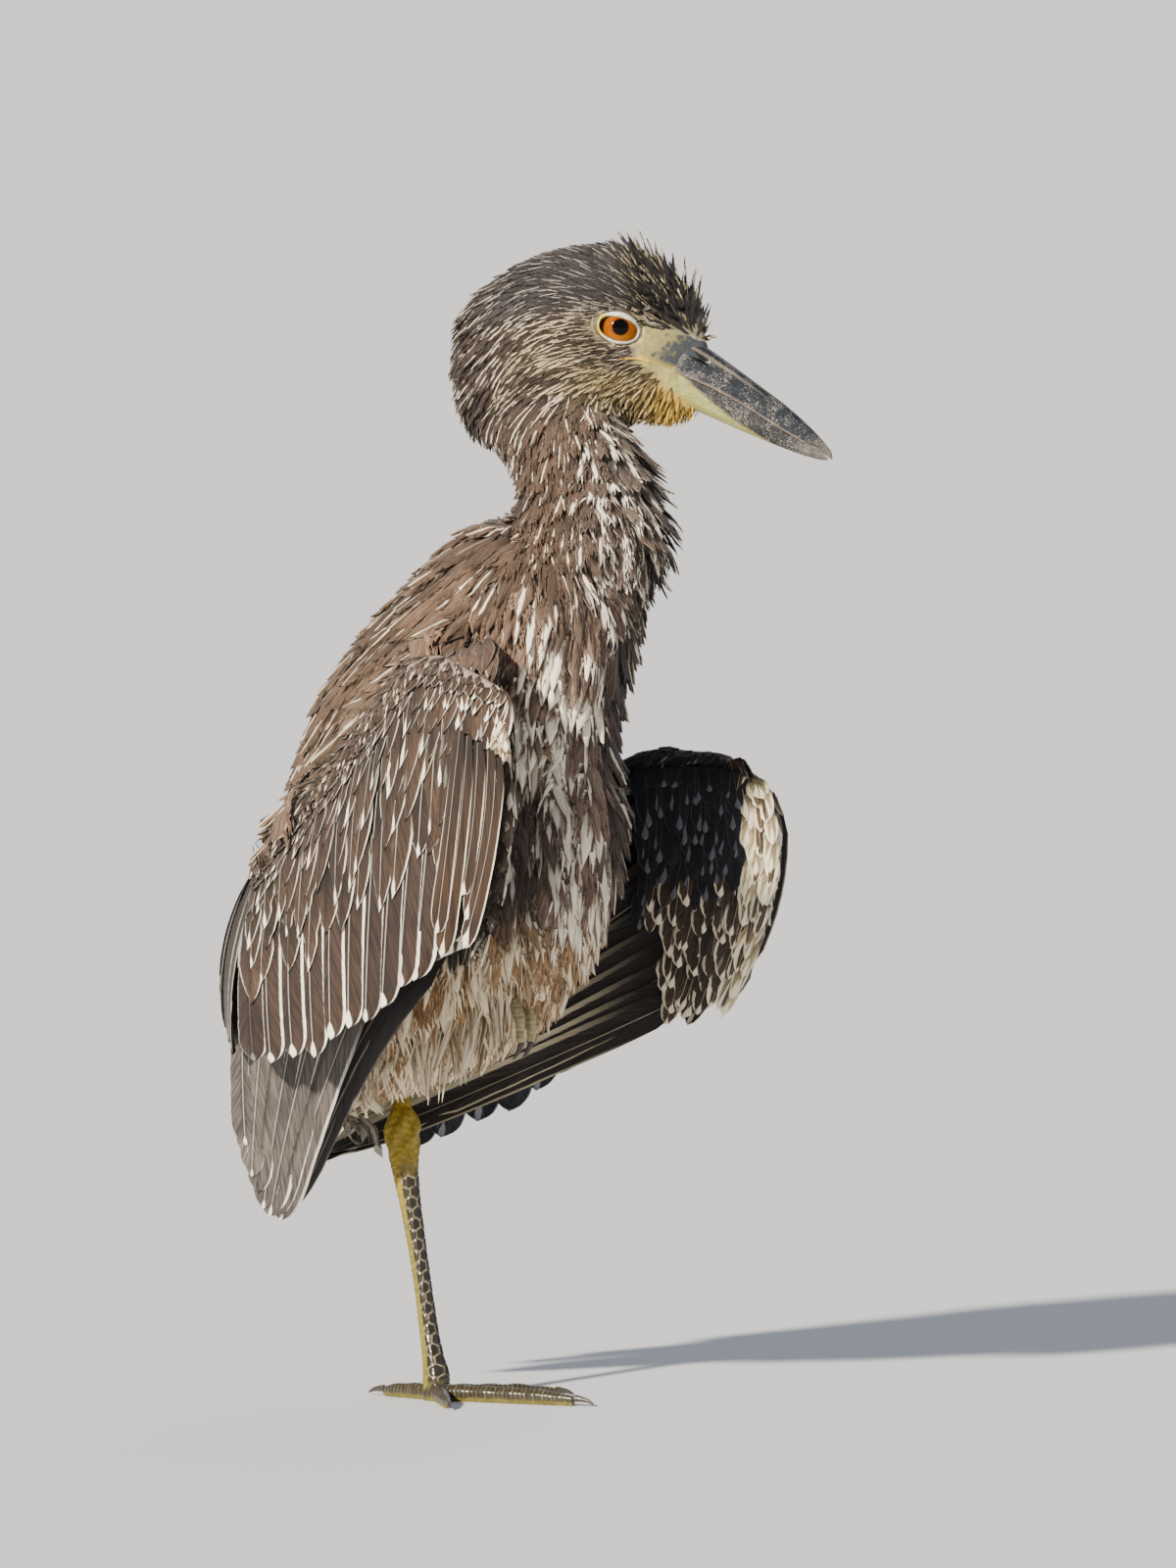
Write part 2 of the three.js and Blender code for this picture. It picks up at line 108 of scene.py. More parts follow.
for sign, operation in (("add", "ADD"), ("sub", "SUBTRACT"), ("mul", "MULTIPLY"),
                        ("truediv", "DIVIDE"), ("pow", "POWER")):
    setattr(Flow, f"__{sign}__", lambda flow, other, kind=operation: maths(kind, flow, other))
    setattr(Flow, f"__r{sign}__", lambda flow, other, kind=operation: maths(kind, other, flow))
Flow.__abs__ = lambda flow: maths("ABSOLUTE", flow)


def split(vector):
    """The three numbers of a vector."""
    return [Flow(out) for out in put(vector.tree, "ShaderNodeSeparateXYZ", {0: vector}).socket.node.outputs]


def vector_of(*numbers):
    return put(tree_of(*numbers), "ShaderNodeCombineXYZ", dict(enumerate(numbers)))


def ramp(value, low, high, bottom=0.0, top=1.0):
    """A smooth step from bottom to top as the value goes from low to high."""
    return put(value.tree, "ShaderNodeMapRange", {0: value, 1: low, 2: high, 3: bottom, 4: top},
               interpolation_type="SMOOTHSTEP")


def blend_colour(factor, first, second, way="MIX"):
    return put(tree_of(factor, first, second), "ShaderNodeMix", {0: factor, 6: first, 7: second}, 2,
               data_type="RGBA", blend_type=way)


def noise(place, scale, detail, roughness=0.5):
    return put(place.tree, "ShaderNodeTexNoise", {
        "Vector": place, "Scale": scale, "Detail": detail, "Roughness": roughness})


def bumps(height, strength, distance):
    """The normal of a surface roughened by a height, with the distance in millimetres."""
    return put(height.tree, "ShaderNodeBump", {
        "Height": height, "Strength": strength, "Distance": distance * MM})


def attribute(tree, name, output="Color"):
    return put(tree, "ShaderNodeAttribute", out=output, attribute_name=name)


def object_place(tree):
    return put(tree, "ShaderNodeTexCoord", out="Object")


def finish_of(name):
    """A new material, its node tree and its principled shader."""
    material = bpy.data.materials.new(name)
    material.use_nodes = True
    return material, material.node_tree, material.node_tree.nodes["Principled BSDF"]


def grid(rows, wide, closed=False):
    """Faces between rows of points, so many to a row, where a row may close on itself."""
    return [(a * wide + k, a * wide + (k + 1) % wide, (a + 1) * wide + (k + 1) % wide, (a + 1) * wide + k)
            for a in range(rows) for k in range(wide - (not closed))]


def flipped(faces, turned=True):
    return [face[::-1] for face in faces] if turned else faces


def plain_mesh(name, points, faces):
    mesh = bpy.data.meshes.new(name)
    mesh.from_pydata([tuple(p) for p in points], [], faces)
    mesh.validate()
    mesh.shade_smooth()
    return mesh


def show(name, mesh, *materials):
    piece = bpy.data.objects.new(name, mesh)
    scene.collection.objects.link(piece)
    for material in materials:
        mesh.materials.append(material)
    return piece


FLOOR_HALF = 120.0
pale, tree, shader = finish_of("pale_floor")
feed(shader, {"Base Color": paint("#d2d3d6"), "Roughness": 0.9})
floor = show("floor", plain_mesh("floor", [
    (-FLOOR_HALF, -FLOOR_HALF, 0), (FLOOR_HALF, -FLOOR_HALF, 0),
    (FLOOR_HALF, FLOOR_HALF, 0), (-FLOOR_HALF, FLOOR_HALF, 0)], [(0, 1, 2, 3)]), pale)

world = bpy.data.worlds.new("pale_room")
scene.world = world
world.use_nodes = True
feed(world.node_tree.nodes["Background"], {"Color": paint("#cdd6e6"), "Strength": 0.42})

VIEW_AZIMUTH = math.radians(28)
VIEW_HEIGHT = math.radians(3)
VIEW_DISTANCE = 7.0
AIM = Vector((0.0527, 0.0280, 0.2429))
FRAME_WIDTH = 0.462


def toward(azimuth, height):
    """The direction from the bird to where a camera or a lamp stands."""
    level = math.cos(height)
    return Vector((math.sin(azimuth) * level, -math.cos(azimuth) * level, math.sin(height)))


lens = bpy.data.cameras.new("long_lens")
lens.sensor_fit = "HORIZONTAL"
lens.sensor_width = 36.0
lens.lens = lens.sensor_width * VIEW_DISTANCE / FRAME_WIDTH
lens.clip_end = 400.0
camera = bpy.data.objects.new("long_lens", lens)
scene.collection.objects.link(camera)
camera.location = AIM + VIEW_DISTANCE * toward(VIEW_AZIMUTH, VIEW_HEIGHT)
camera.rotation_euler = toward(VIEW_AZIMUTH, VIEW_HEIGHT).to_track_quat("Z", "Y").to_euler()
scene.camera = camera


def lamp(name, azimuth, height, strength, softness, colour):
    """A large far lamp, turned to shine on the bird."""
    light = bpy.data.lights.new(name, "SUN")
    light.energy = strength
    light.angle = math.radians(softness)
    light.color = colour
    holder = bpy.data.objects.new(name, light)
    scene.collection.objects.link(holder)
    way = toward(math.radians(azimuth), math.radians(height))
    holder.rotation_euler = way.to_track_quat("Z", "Y").to_euler()


lamp("key_lamp", -6, 25, 10.5, 3, (1.0, 0.92, 0.8))
lamp("fill_lamp", 95, 20, 0.45, 60, (0.86, 0.92, 1.0))
lamp("back_lamp", 190, 40, 0.6, 40, (0.95, 0.97, 1.0))

# ------------------------------------------------------------
# The skin: one closed hide over head, neck, trunk, arms and thigh, and bare scaled skin on the legs.
# It is the flesh of the solids joined, smoothed and drawn in by the depth of the feathers, so that
# the tips of the plumage come out where the solids end.
ARMS = [f"wing_{side}_{bone}" for side in ("right", "left") for bone in ("upper_arm", "forearm", "hand")]
FLESH = ["trunk", "neck", "head", "thigh_left", *ARMS]
TOES = [*(f"toe_left_{toe}" for toe in ("hind", "inner", "middle", "outer")),
        "toe_right_inner", "toe_right_middle"]
LEGS = ["shank_left", "tarsus_left", "foot_left_pad", *TOES]
EYES = ["eye_right", "eye_left"]


def arrays_of(mesh):
    """The points, outward normals and edges of a mesh, as arrays."""
    points = np.empty((len(mesh.vertices), 3))
    normals = np.empty((len(mesh.vertices), 3))
    edges = np.empty((len(mesh.edges), 2), int)
    mesh.vertices.foreach_get("co", points.ravel())
    mesh.vertices.foreach_get("normal", normals.ravel())
    mesh.edges.foreach_get("vertices", edges.ravel())
    return points, normals, edges


def joined(nodes, swell):
    """The solids of some nodes in one mesh, each grown a little so that neighbours overlap."""
    shape = bmesh.new()
    for node in nodes:
        shape.from_mesh(solids[node].data)
    bmesh.ops.remove_doubles(shape, verts=shape.verts, dist=0.01 * MM)
    shape.normal_update()
    for vertex in shape.verts:
        vertex.co += vertex.normal * swell
    mesh = bpy.data.meshes.new("joined")
    shape.to_mesh(mesh)
    shape.free()
    return mesh


def hide(nodes, swell, voxel, rounds):
    """One smooth closed surface around the solids of some nodes."""
    piece = bpy.data.objects.new("hide", joined(nodes, swell))
    scene.collection.objects.link(piece)
    remesh = piece.modifiers.new("remesh", "REMESH")
    remesh.mode = "VOXEL"
    remesh.voxel_size = voxel
    soften = piece.modifiers.new("soften", "SMOOTH")
    soften.factor = 0.5
    soften.iterations = rounds
    graph = bpy.context.evaluated_depsgraph_get()
    mesh = bpy.data.meshes.new_from_object(piece.evaluated_get(graph))
    bpy.data.objects.remove(piece)
    return mesh


def spread(values, edges, rounds):
    """Values at the points of a mesh, each round mixed half and half with those beside them."""
    count = np.bincount(edges.ravel(), minlength=len(values))
    for _ in range(rounds):
        beside = np.stack([
            np.bincount(edges[:, 0], column[edges[:, 1]], len(values))
            + np.bincount(edges[:, 1], column[edges[:, 0]], len(values))
            for column in values.T], axis=1)
        values = (values + beside / np.maximum(count, 1)[:, None]) / 2
    return values


def step(value, low, high):
    """A smooth step from 0 to 1 as the value goes from low to high."""
    t = np.clip((value - low) / (high - low), 0, 1)
    return t * t * (3 - 2 * t)


def unit(vectors):
    return vectors / np.maximum(np.linalg.norm(vectors, axis=-1, keepdims=True), 1e-9)


def reshape(mesh, places):
    mesh.vertices.foreach_set("co", places.ravel())
    mesh.update()


BODY_VOXEL = 1.9 * MM
LEG_VOXEL = 0.55 * MM
body = hide(FLESH + EYES, 0.35 * MM, BODY_VOXEL, 6)
points, normals, edges = arrays_of(body)

# Which solid each point of the hide belongs to, blurred so that one part flows into the next
corners, faces, owner = [], [], []
for index, node in enumerate(FLESH):
    solid = solids[node].data
    faces += [[len(corners) + v for v in face.vertices] for face in solid.polygons]
    owner += [index] * len(solid.polygons)
    corners += [v.co.copy() for v in solid.vertices]
nearest = BVHTree.FromPolygons(corners, faces)
part = np.array([owner[nearest.find_nearest(p)[2]] for p in points])
share = {node: spread((part == i)[:, None] * 1.0, edges, 14)[:, 0] for i, node in enumerate(FLESH)}
x, y, z = points.T / MM

# Loose skin fills the hollow where the nape meets the neck
HOLLOW = {"height": 380, "half": 12.5, "fill": 8.5}
hollow = np.exp(-((z - HOLLOW["height"]) / HOLLOW["half"]) ** 2) * step(-x, -44, -26)
points[:, 0] -= HOLLOW["fill"] * MM * hollow
reshape(body, points)
points, normals, edges = arrays_of(body)
x, y, z = points.T / MM

# The head's own directions: forward, to its left and up from the point midway between the eyes
eye_middle = {eye: (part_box(eye)[0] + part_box(eye)[1]) / 2 for eye in EYES}
between_eyes = (eye_middle["eye_right"] + eye_middle["eye_left"]) / 2
head_left = (eye_middle["eye_left"] - eye_middle["eye_right"]).normalized()
head_up = Vector((0, 0, 1))
head_front = head_left.cross(head_up)
head_axes = np.array([head_front, head_left, head_up])


def in_head(places):
    """Places as millimetres forward, left and up in the head."""
    return (places - np.array(between_eyes)) @ head_axes.T / MM


def from_head(rows):
    """The way back: millimetres in the head to places in the frame."""
    return np.array(between_eyes) + np.asarray(rows) * MM @ head_axes


def directions_from_head(rows):
    return np.asarray(rows, float) @ head_axes


ahead, leftward, above = in_head(points).T
from_eye = np.hypot(ahead, above)

# The trunk's middle line leans back, so front, back and sides are told from it at each height
TRUNK_LINE = np.array([[111, -39, 4], [136, -17, 36], [174, -3, 65], [228, 7, 73], [281, 16, 62],
                       [320, 40, 51], [350, 46, 32]])
middle_x = np.interp(z, TRUNK_LINE[:, 0], TRUNK_LINE[:, 1])
half_depth = np.interp(z, TRUNK_LINE[:, 0], TRUNK_LINE[:, 2])
frontness = (x - middle_x) / half_depth
on_head = share["head"]
on_neck = share["neck"]
on_trunk = share["trunk"]
on_thigh = share["thigh_left"]
on_arm = share["wing_right_upper_arm"] + share["wing_left_upper_arm"]
on_forearm = share["wing_right_forearm"] + share["wing_left_forearm"]
on_hand = share["wing_right_hand"] + share["wing_left_hand"]
dorsal = step(np.sign(y) * normals[:, 1], -0.35, 0.35)  # outer face of a hanging wing

# Bare skin on the face: the lores, from the eye to the bill, the side of the lower jaw, and the lids
# about the almond opening of the eye, whose front corner is lower than the back one
OPENING = {"half_length": 7.6, "upper": 4.2, "lower": 4.8, "tilt": math.radians(-17)}


def almond(forward, up):
    """How far a place in the head's side view is out from the middle of the opening, 1 at its edge."""
    c, s = math.cos(OPENING["tilt"]), math.sin(OPENING["tilt"])
    length, height = forward * c + up * s, up * c - forward * s
    reach = np.where(height > 0, OPENING["upper"], OPENING["lower"])
    return np.hypot(length / OPENING["half_length"], height / reach)


beside_head = step(np.abs(normals @ head_axes[1]), 0.35, 0.6)
brow = 2.5 - 0.33 * (ahead - 9.6)
lores = (step(ahead, 6.5, 9) * step(brow - above, -0.6, 0.8)
         * step(above + 14.2 + 0.3 * (ahead - 6), -0.8, 0.6))
below_mouth = -14.6 - above
jaw_edge = 14.6 + 0.52 * below_mouth + 0.9 * np.maximum(0, below_mouth - 8.9)
mandible_side = step(ahead - jaw_edge, -0.6, 0.8) * step(below_mouth, -1.6, -0.6)
eye_rim = step(1.32 - almond(ahead, above), -0.1, 0.1)
bare = on_head * beside_head * np.maximum(np.maximum(lores, mandible_side), eye_rim)

# Coats, from the plainest laid over all to those of single regions. Each has, in millimetres, the
# length and width of a feather and the depth of the coat; how far feathers lift; the ground colour
# and the colour of the marks; the mark at the tip (its length as a share, half width, share of
# feathers that have it); the pale rims (outer, inner, share of feathers); and last how closely the
# feathers follow the skin.
LENGTH, WIDTH, DEPTH, LIFT, GROUND, MARK, SPOT, RIM, HUG = 0, 1, 2, 3, 4, 7, 10, 13, 16
coat_values = np.zeros((len(points), HUG + 1))


def lay_coat(where, size, depth, lift, ground, marks, spot, rim, hug=1.0):
    """Mixes a coat over what is already there, by how far each point is in its region."""
    row = [*size, depth, lift, *paint(ground)[:3], *paint(marks)[:3], *spot, *rim, hug]
    where = np.clip(where, 0, 1)[:, None]
    coat_values[:] = coat_values * (1 - where) + where * np.array(row)


everywhere = np.ones(len(points))
AWAY = (0.883, 0.469, 0.0)  # level, and square to the way the camera looks
# Painted shade: the side of neck and breast turned to the camera's right, away from the key lamp, gets dark
# feathers
far_side_shade = step(normals @ np.array(AWAY), 0.62, 0.88) * step(y, -12, 4)
# Painted shade in the hollow between the scapulars and the wing
wing_gap_shade = (on_trunk + on_arm) * step(-y, 40, 50) * step(6 - np.hypot(x - 6, (z - 258) / 2), -12, 0)
breast = step(frontness, 0.25, 0.7)
low = step(-z, -225, -190)
lay_coat(everywhere, (31, 10), 6.5, 0.08, "#594637", "#eadbc0", (0.8, 0.09, 0.5), (0.12, 0.12, 0.3))
shoulder = on_trunk * step(z, 236, 268) * step(frontness, -0.5, 0.0)
lay_coat(shoulder, (31, 11), 6.5, 0.12, "#725a48", "#efe2cc", (0.85, 0.11, 0.32), (0.12, 0.12, 0.3), 0.9)
lay_coat(on_trunk * breast, (36, 12), 6.5, 0.12, "#8a7160", "#fff2da", (1.0, 0.55, 0.72),
         (0.15, 0.15, 0.3), 0.92)
# Painted shadow: the flank beside the near wing is dark, as the shadow the wing casts on it, with pale
# streaks
wing_shadow_flank = (on_trunk * step(z, 188, 210) * step(-z, -282, -258) * step(frontness, -0.6, -0.1)
         * step(-frontness, -0.96, -0.78))
lay_coat(wing_shadow_flank * 0.85, (30, 10), 6.5, 0.12, "#3f3836", "#aca093", (0.9, 0.36, 0.5), (0.15, 0.15, 0.3))
lay_coat(on_trunk * low, (25, 11), 6.5, 0.22, "#a07c55", "#ffecc8", (1.0, 0.6, 0.6), (0.35, 0.35, 0.5), 0.75)
vent = on_trunk * step(-z, -172, -140) * step(-frontness, -0.3, 0.2)
lay_coat(vent, (27, 10), 6, 0.24, "#8b8478", "#c5beb0", (0.95, 0.6, 0.6), (0.3, 0.3, 0.4), 0.8)
# Painted shade on the breast's far side, turned away from the key lamp
lay_coat(on_trunk * far_side_shade * step(z, 222, 240) * 0.85, (30, 11), 6.5, 0.14, "#2e2622", "#c9bda9",
         (0.8, 0.2, 0.15), (0.1, 0.1, 0.2), 0.8)
lay_coat(on_neck, (17, 6.5), 5.5, 0.12, "#574436", "#efe3cd", (0.75, 0.16, 0.36), (0.1, 0.1, 0.2))
neck_front = on_neck * step(x, 66, 84)
clumps = 0.5 + 0.5 * np.sin(z * 0.55 + 2 * np.sin(y * 0.3)) * np.sin(y * 0.42 + 1.3)
lay_coat(neck_front, (18, 6), 6, 0.3, "#4f4037", "#efe4d0", (0.7, 0.45, 0.45), (0.15, 0.15, 0.3), 0.78)
pale_front = neck_front * (step(z, 352, 372) + step(z, 300, 318) * step(-z, -350, -335))
lay_coat(pale_front * step(clumps, 0.3, 0.7), (19, 8.5), 6, 0.2, "#65564a", "#f6ecda", (0.85, 0.7, 0.45),
         (0.2, 0.2, 0.3), 0.85)
# Painted shade on the neck's far side, turned away from the key lamp
lay_coat(on_neck * far_side_shade * 0.8, (19, 5.5), 6, 0.32, "#30271f", "#d8cbb6", (0.6, 0.35, 0.3),
         (0.1, 0.1, 0.2), 0.7)
coat_values[:, LIFT] *= 1 + on_neck * 0.7 * (clumps - 0.4)
lay_coat(on_arm, (26, 11), 3.5, 0.14, "#705b49", "#e6d9bf", (0.85, 0.14, 0.4), (0.14, 0.14, 0.4), 0.85)
# Dark feathers here are painted shade in the hollow behind the wing
lay_coat(wing_gap_shade * 0.9, (22, 9), 5, 0.1, "#33281f", "#b5a48c", (0.6, 0.1, 0.2), (0.1, 0.1, 0.1), 0.9)
lay_coat(on_thigh, (20, 9), 5, 0.18, "#8c7756", "#efdcb6", (1.0, 0.6, 0.65), (0.3, 0.3, 0.4), 0.9)
lay_coat(on_thigh * step(-z, -152, -140), (7, 4.5), 3, 0.12, "#75674f", "#cfc2a2", (1.0, 0.6, 0.6),
         (0.3, 0.3, 0.4))
lay_coat(on_forearm, (6.5, 3.2), 1.6, 0.12, "#4a3a30", "#eadcc6", (0.5, 0.36, 0.36), (0.2, 0.2, 0.3))
# The hide of the hand is short and dark, as painted shade in the gap beside the hand's vanes
lay_coat(on_hand, (11, 5.5), 4.5, 0.04, "#3f342d", "#8a7a68", (0.3, 0.4, 0.2), (0.1, 0.1, 0.2))
wrist = (on_hand + on_forearm) * step(x, 77, 84) * step(z - np.where(y < 0, 262, 232), -4, 4)
lay_coat(wrist, (8, 4.2), 2.2, 0.02, "#967c58", "#fbeed2", (0.7, 0.8, 0.8), (0.35, 0.35, 0.9))
under_edge = (on_hand + on_forearm) * (1 - dorsal)
lay_coat(under_edge * on_hand, (12, 6), 2.2, 0.04, "#7d6c58", "#f1e7cf", (0.9, 0.75, 0.85), (0.4, 0.4, 0.8))
# The under side of the forearm is dark, as painted shade from the body's shadow on the wing's under side
lay_coat(under_edge * on_forearm, (9, 5), 2.2, 0.04, "#2f2c2e", "#8f8a84", (0.6, 0.35, 0.4), (0.2, 0.2, 0.3))

crown = step(above, 6, 14)
nape = step(-ahead, 36, 52)
lay_coat(on_head, (11.5, 2.4), 2.6, 0.07, "#453a33", "#cbbca2", (0.95, 0.4, 0.6), (0.05, 0.05, 0.1))
cheek = on_head * step(-ahead, -8, 6) * step(8 - above, 0, 6) * step(above, -26, -16)
lay_coat(cheek, (12, 2.5), 2.4, 0.05, "#46392e", "#c9b692", (1.0, 0.46, 0.62), (0.05, 0.05, 0.1))
lay_coat(on_head * crown, (10.5, 2.6), 2.8, 0.1, "#423c3c", "#a89d91", (0.8, 0.22, 0.3), (0.1, 0.1, 0.2))
lay_coat(on_head * nape, (17, 3.4), 3.2, 0.16, "#44372f", "#e2d6c2", (0.85, 0.18, 0.34),
         (0.05, 0.05, 0.1), 0.55)
forecrown = on_head * step(ahead, 2, 14) * step(above - brow, -2, 5)
lay_coat(forecrown, (11.5, 2.5), 2.2, 0.4, "#38312f", "#e6d3a2", (0.4, 0.42, 0.5), (0.05, 0.05, 0.1), 0.8)
crests = 0.5 + 0.5 * np.sin(ahead * 0.95 - above * 0.5 + 1.5 * np.sin(leftward * 0.35))
coat_values[:, LIFT] *= 1 + forecrown * 1.7 * (crests - 0.45)
throat = on_head * step(-above, 11, 20) * step(ahead, -22, -4)
lay_coat(throat, (7, 2), 2.0, 0.12, "#7d6a45", "#dcc58a", (0.95, 0.5, 0.7), (0.05, 0.05, 0.2))
chin = on_head * step(-above, 18, 25) * step(ahead, 6, 22)
lay_coat(chin, (6, 1.5), 1.5, 0.3, "#a8852f", "#e6c25a", (0.95, 0.6, 0.8), (0.05, 0.05, 0.2), 0.9)
near_face = on_head * step(24 - from_eye, 0, 14) * (1 - chin)
coat_values[:, :LIFT] *= (1 - 0.5 * near_face * (1 - forecrown) - 0.25 * near_face * forecrown)[:, None]
coat_values[:, DEPTH] *= 1 - 0.85 * np.clip(bare, 0, 1)
coat_values[:, :LIFT] = spread(coat_values[:, :LIFT], edges, 6)

# The lie of the coat: back from the bill over the head, then down the neck, back and breast
BILL_BASE = (27, 0, -8)
fan = unit(in_head(points) - np.array(BILL_BASE))
rear = step(-ahead, 8, 46)
head_lie = directions_from_head(fan) + np.array([-0.1, 0, -1]) * (0.12 + 1.0 * rear)[:, None]
head_lie = head_lie + np.array([-0.5, 0, -0.1]) * forecrown[:, None]
neck_lie = np.array([0.12, 0, -1.0]) + np.array([-0.35, 0, 0]) * step(66 - x, -4, 16)[:, None]
back_lie = np.array([-0.62, 0, -0.8])
front_lie = np.array([0.0, 0, -1.0])
trunk_lie = back_lie + (front_lie - back_lie) * step(frontness, -0.5, 0.6)[:, None]
trunk_lie = trunk_lie + np.array([0, 0.18, 0]) * np.sign(y)[:, None] * step(z, 200, 300)[:, None]
lie = 0
for where, way in ((on_head, head_lie), (on_neck, neck_lie), (on_trunk, trunk_lie),
                   (on_thigh, (-0.35, 0, -0.94)), (on_arm, (-0.45, 0, -0.9)),
                   (on_forearm, (-0.34, 0, -0.94)), (on_hand, (-0.16, 0, -1.0))):
    lie = lie + np.asarray(way) * where[:, None]

points = points - normals * (coat_values[:, DEPTH] * MM)[:, None]
points = spread(points, edges, 3)
reshape(body, points)
points, normals, edges = arrays_of(body)
lie = unit(lie - normals * (lie * normals).sum(1)[:, None])

# The legs: bare hide over shank, ankle, tarsus and toes. The front of the tarsus and the tops of the
# toes carry dark horny scutes with pale seams, and the rest is wrinkled yellow skin.
LEG_LINE = np.array([[-14, 13.5, 146], [-20.5, 10.8, 126], [-19.5, 8, 104], [-16.5, 6.6, 83],
                     [-9.5, 4, 52], [-3.5, 1.6, 22], [0, 0, 5]]) * MM
SCUTE = {"high": 4.2, "wide": 4.9}
TOE_SCUTE = 1.9
legs = hide(LEGS, 0.25 * MM, LEG_VOXEL, 4)
foot, foot_normals, _ = arrays_of(legs)


def along_line(places, line):
    """How far along a line the nearest point lies, in millimetres, and the way out from it."""
    best = np.full(len(places), 9.0)
    run = np.zeros(len(places))
    out = np.zeros_like(places)
    start = 0.0
    for a, b in zip(line[:-1], line[1:]):
        length = np.linalg.norm(b - a)
        t = np.clip((places - a) @ (b - a) / length ** 2, 0, 1)
        away = places - (a + t[:, None] * (b - a))
        gap = np.linalg.norm(away, axis=1)
        closer = gap < best
        best[closer] = gap[closer]
        run[closer] = (start + t * length)[closer] / MM
        out[closer] = away[closer]
        start += length
    return run, out, best


def scutes(run, around, high, wide):
    """Six-sided plates in staggered rows: 1 inside each, 0 at the seams."""
    column, row = around / wide, run / high
    nearest = np.full((2, len(run)), 9.0)
    for down in (-1, 0, 1, 2):
        level = np.floor(row) + down
        shift = 0.5 * (level % 2)
        for beside in (0, 1):
            middle = np.floor(column - shift) + beside + shift
            gap = np.hypot(column - middle, (row - level) * 0.87)
            nearest[1] = np.minimum(nearest[1], np.maximum(nearest[0], gap))
            nearest[0] = np.minimum(nearest[0], gap)
    return step(nearest[1] - nearest[0], 0.02, 0.14)


run, out, leg_gap = along_line(foot, LEG_LINE)
FAR = 9.0  # further than any skin of the legs lies from a line through them
toe_gap = np.full(len(foot), FAR)
toe_run = np.zeros(len(foot))
toe_left = np.full(len(foot), 99.0)
toe_out = np.zeros_like(foot)
for toe in TOES:
    low_corner, high_corner = (np.array(corner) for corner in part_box(toe))
    middle = (low_corner + high_corner) / 2
    claw = sum((np.array(corner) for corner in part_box(toe.replace("toe", "claw"))), np.zeros(3)) / 2
    base = 2 * middle - claw if "right" in toe else np.array([0, 0, middle[2]])
    tip = base + (claw - base) * (0.93 if "left" in toe else 1)
    toe_along, away, gap = along_line(foot, np.array([base, tip]))
    closer = gap < toe_gap
    toe_out[closer] = away[closer]
    toe_left[closer] = np.linalg.norm(tip - base) / MM - toe_along[closer]
    toe_gap[closer] = gap[closer]
    toe_run[closer] = toe_along[closer]
on_toe = step(leg_gap - toe_gap, -0.2 * MM, 0.8 * MM) * step(-foot[:, 2], -14 * MM, -9 * MM)
on_toe = np.maximum(on_toe, step(foot[:, 0], 24 * MM, 27 * MM))
facing = unit(out)
front_turn = np.arctan2(facing[:, 1], facing[:, 0])
FRONT_TURN = 0.3  # the plates of the tarsus face a little to the bird's right
LEG_RADIUS = 3.9
on_front = step(-np.abs(front_turn + FRONT_TURN), -1.5, -1.25)
below_ankle = step(run, 52, 62)
plates = scutes(run, (front_turn + FRONT_TURN) * LEG_RADIUS, SCUTE["high"], SCUTE["wide"])
toe_top = step(foot_normals[:, 2], -0.45, -0.1)
toe_plates = 1 - np.abs(2 * (toe_run / TOE_SCUTE % 1) - 1) ** 5
horn = below_ankle * on_front * (1 - on_toe)
toe_horn = on_toe * toe_top
wrinkle = np.sin(run * 2.3 + 2.2 * np.sin(front_turn * 3)) * (1 - horn) * (1 - on_toe)
ankle_knobs = step(-np.abs(run - 43), -12, -3) * np.sin(front_turn * 5 + run * 0.5)
on_ankle = step(run, 24, 34) * step(-run, -76, -58)
small_scales = scutes(run, front_turn * 6, 1.7, 1.9) * on_ankle * (1 - horn)
tucked = step(foot[:, 0], 22 * MM, 26 * MM) * step(foot[:, 2], 60 * MM, 80 * MM)
squeeze = on_toe * np.maximum(0.2 + 0.3 * step(14 - toe_left, 0, 12), 0.45 * tucked)
pinch = toe_out * squeeze[:, None]
pinch[:, 2] = np.where(tucked > 0.5, pinch[:, 2], np.maximum(pinch[:, 2], 0))
foot = foot - pinch
rise = (0.16 * small_scales + 0.2 * np.cos(toe_run * 0.57) * on_toe
        + 0.34 * plates * horn + 0.28 * toe_plates * toe_horn + 0.10 * wrinkle + 0.45 * ankle_knobs
        + 0.08 * np.sin(toe_run * 3.3) * on_toe * (1 - toe_top))
foot = foot + foot_normals * (rise * MM)[:, None]
foot[:, 2] = np.maximum(foot[:, 2], solid_box[0][2])
reshape(legs, foot)


def mixed(first, second, factor):
    """One colour for each point, between two colours or two sets of colours."""
    factor = np.reshape(factor, (-1, 1))
    return np.asarray(first)[..., :3] * (1 - factor) + np.asarray(second)[..., :3] * factor


def layered(base, *layers):
    """A colour with others laid over it in turn, each by its own share at each point."""
    colour = paint(base)
    for layer, share in layers:
        colour = mixed(colour, paint(layer) if isinstance(layer, str) else layer, share)
    return colour


leg_colour = layered(
    "#4a461c", ("#9c8418", step(run, 20, 34)), ("#756b20", step(run, 56, 80)),
    (layered("#8a8068", ("#1b1817", plates)), horn * 0.97), ("#6a6226", on_toe),
    (layered("#5f583e", ("#292521", toe_plates)), toe_horn * 0.95),
    ("#6b5c20", (1 - small_scales) * (1 - horn) * on_ankle * 0.6),
    (layered("#b0a37a", ("#8f8560", toe_plates)), tucked))

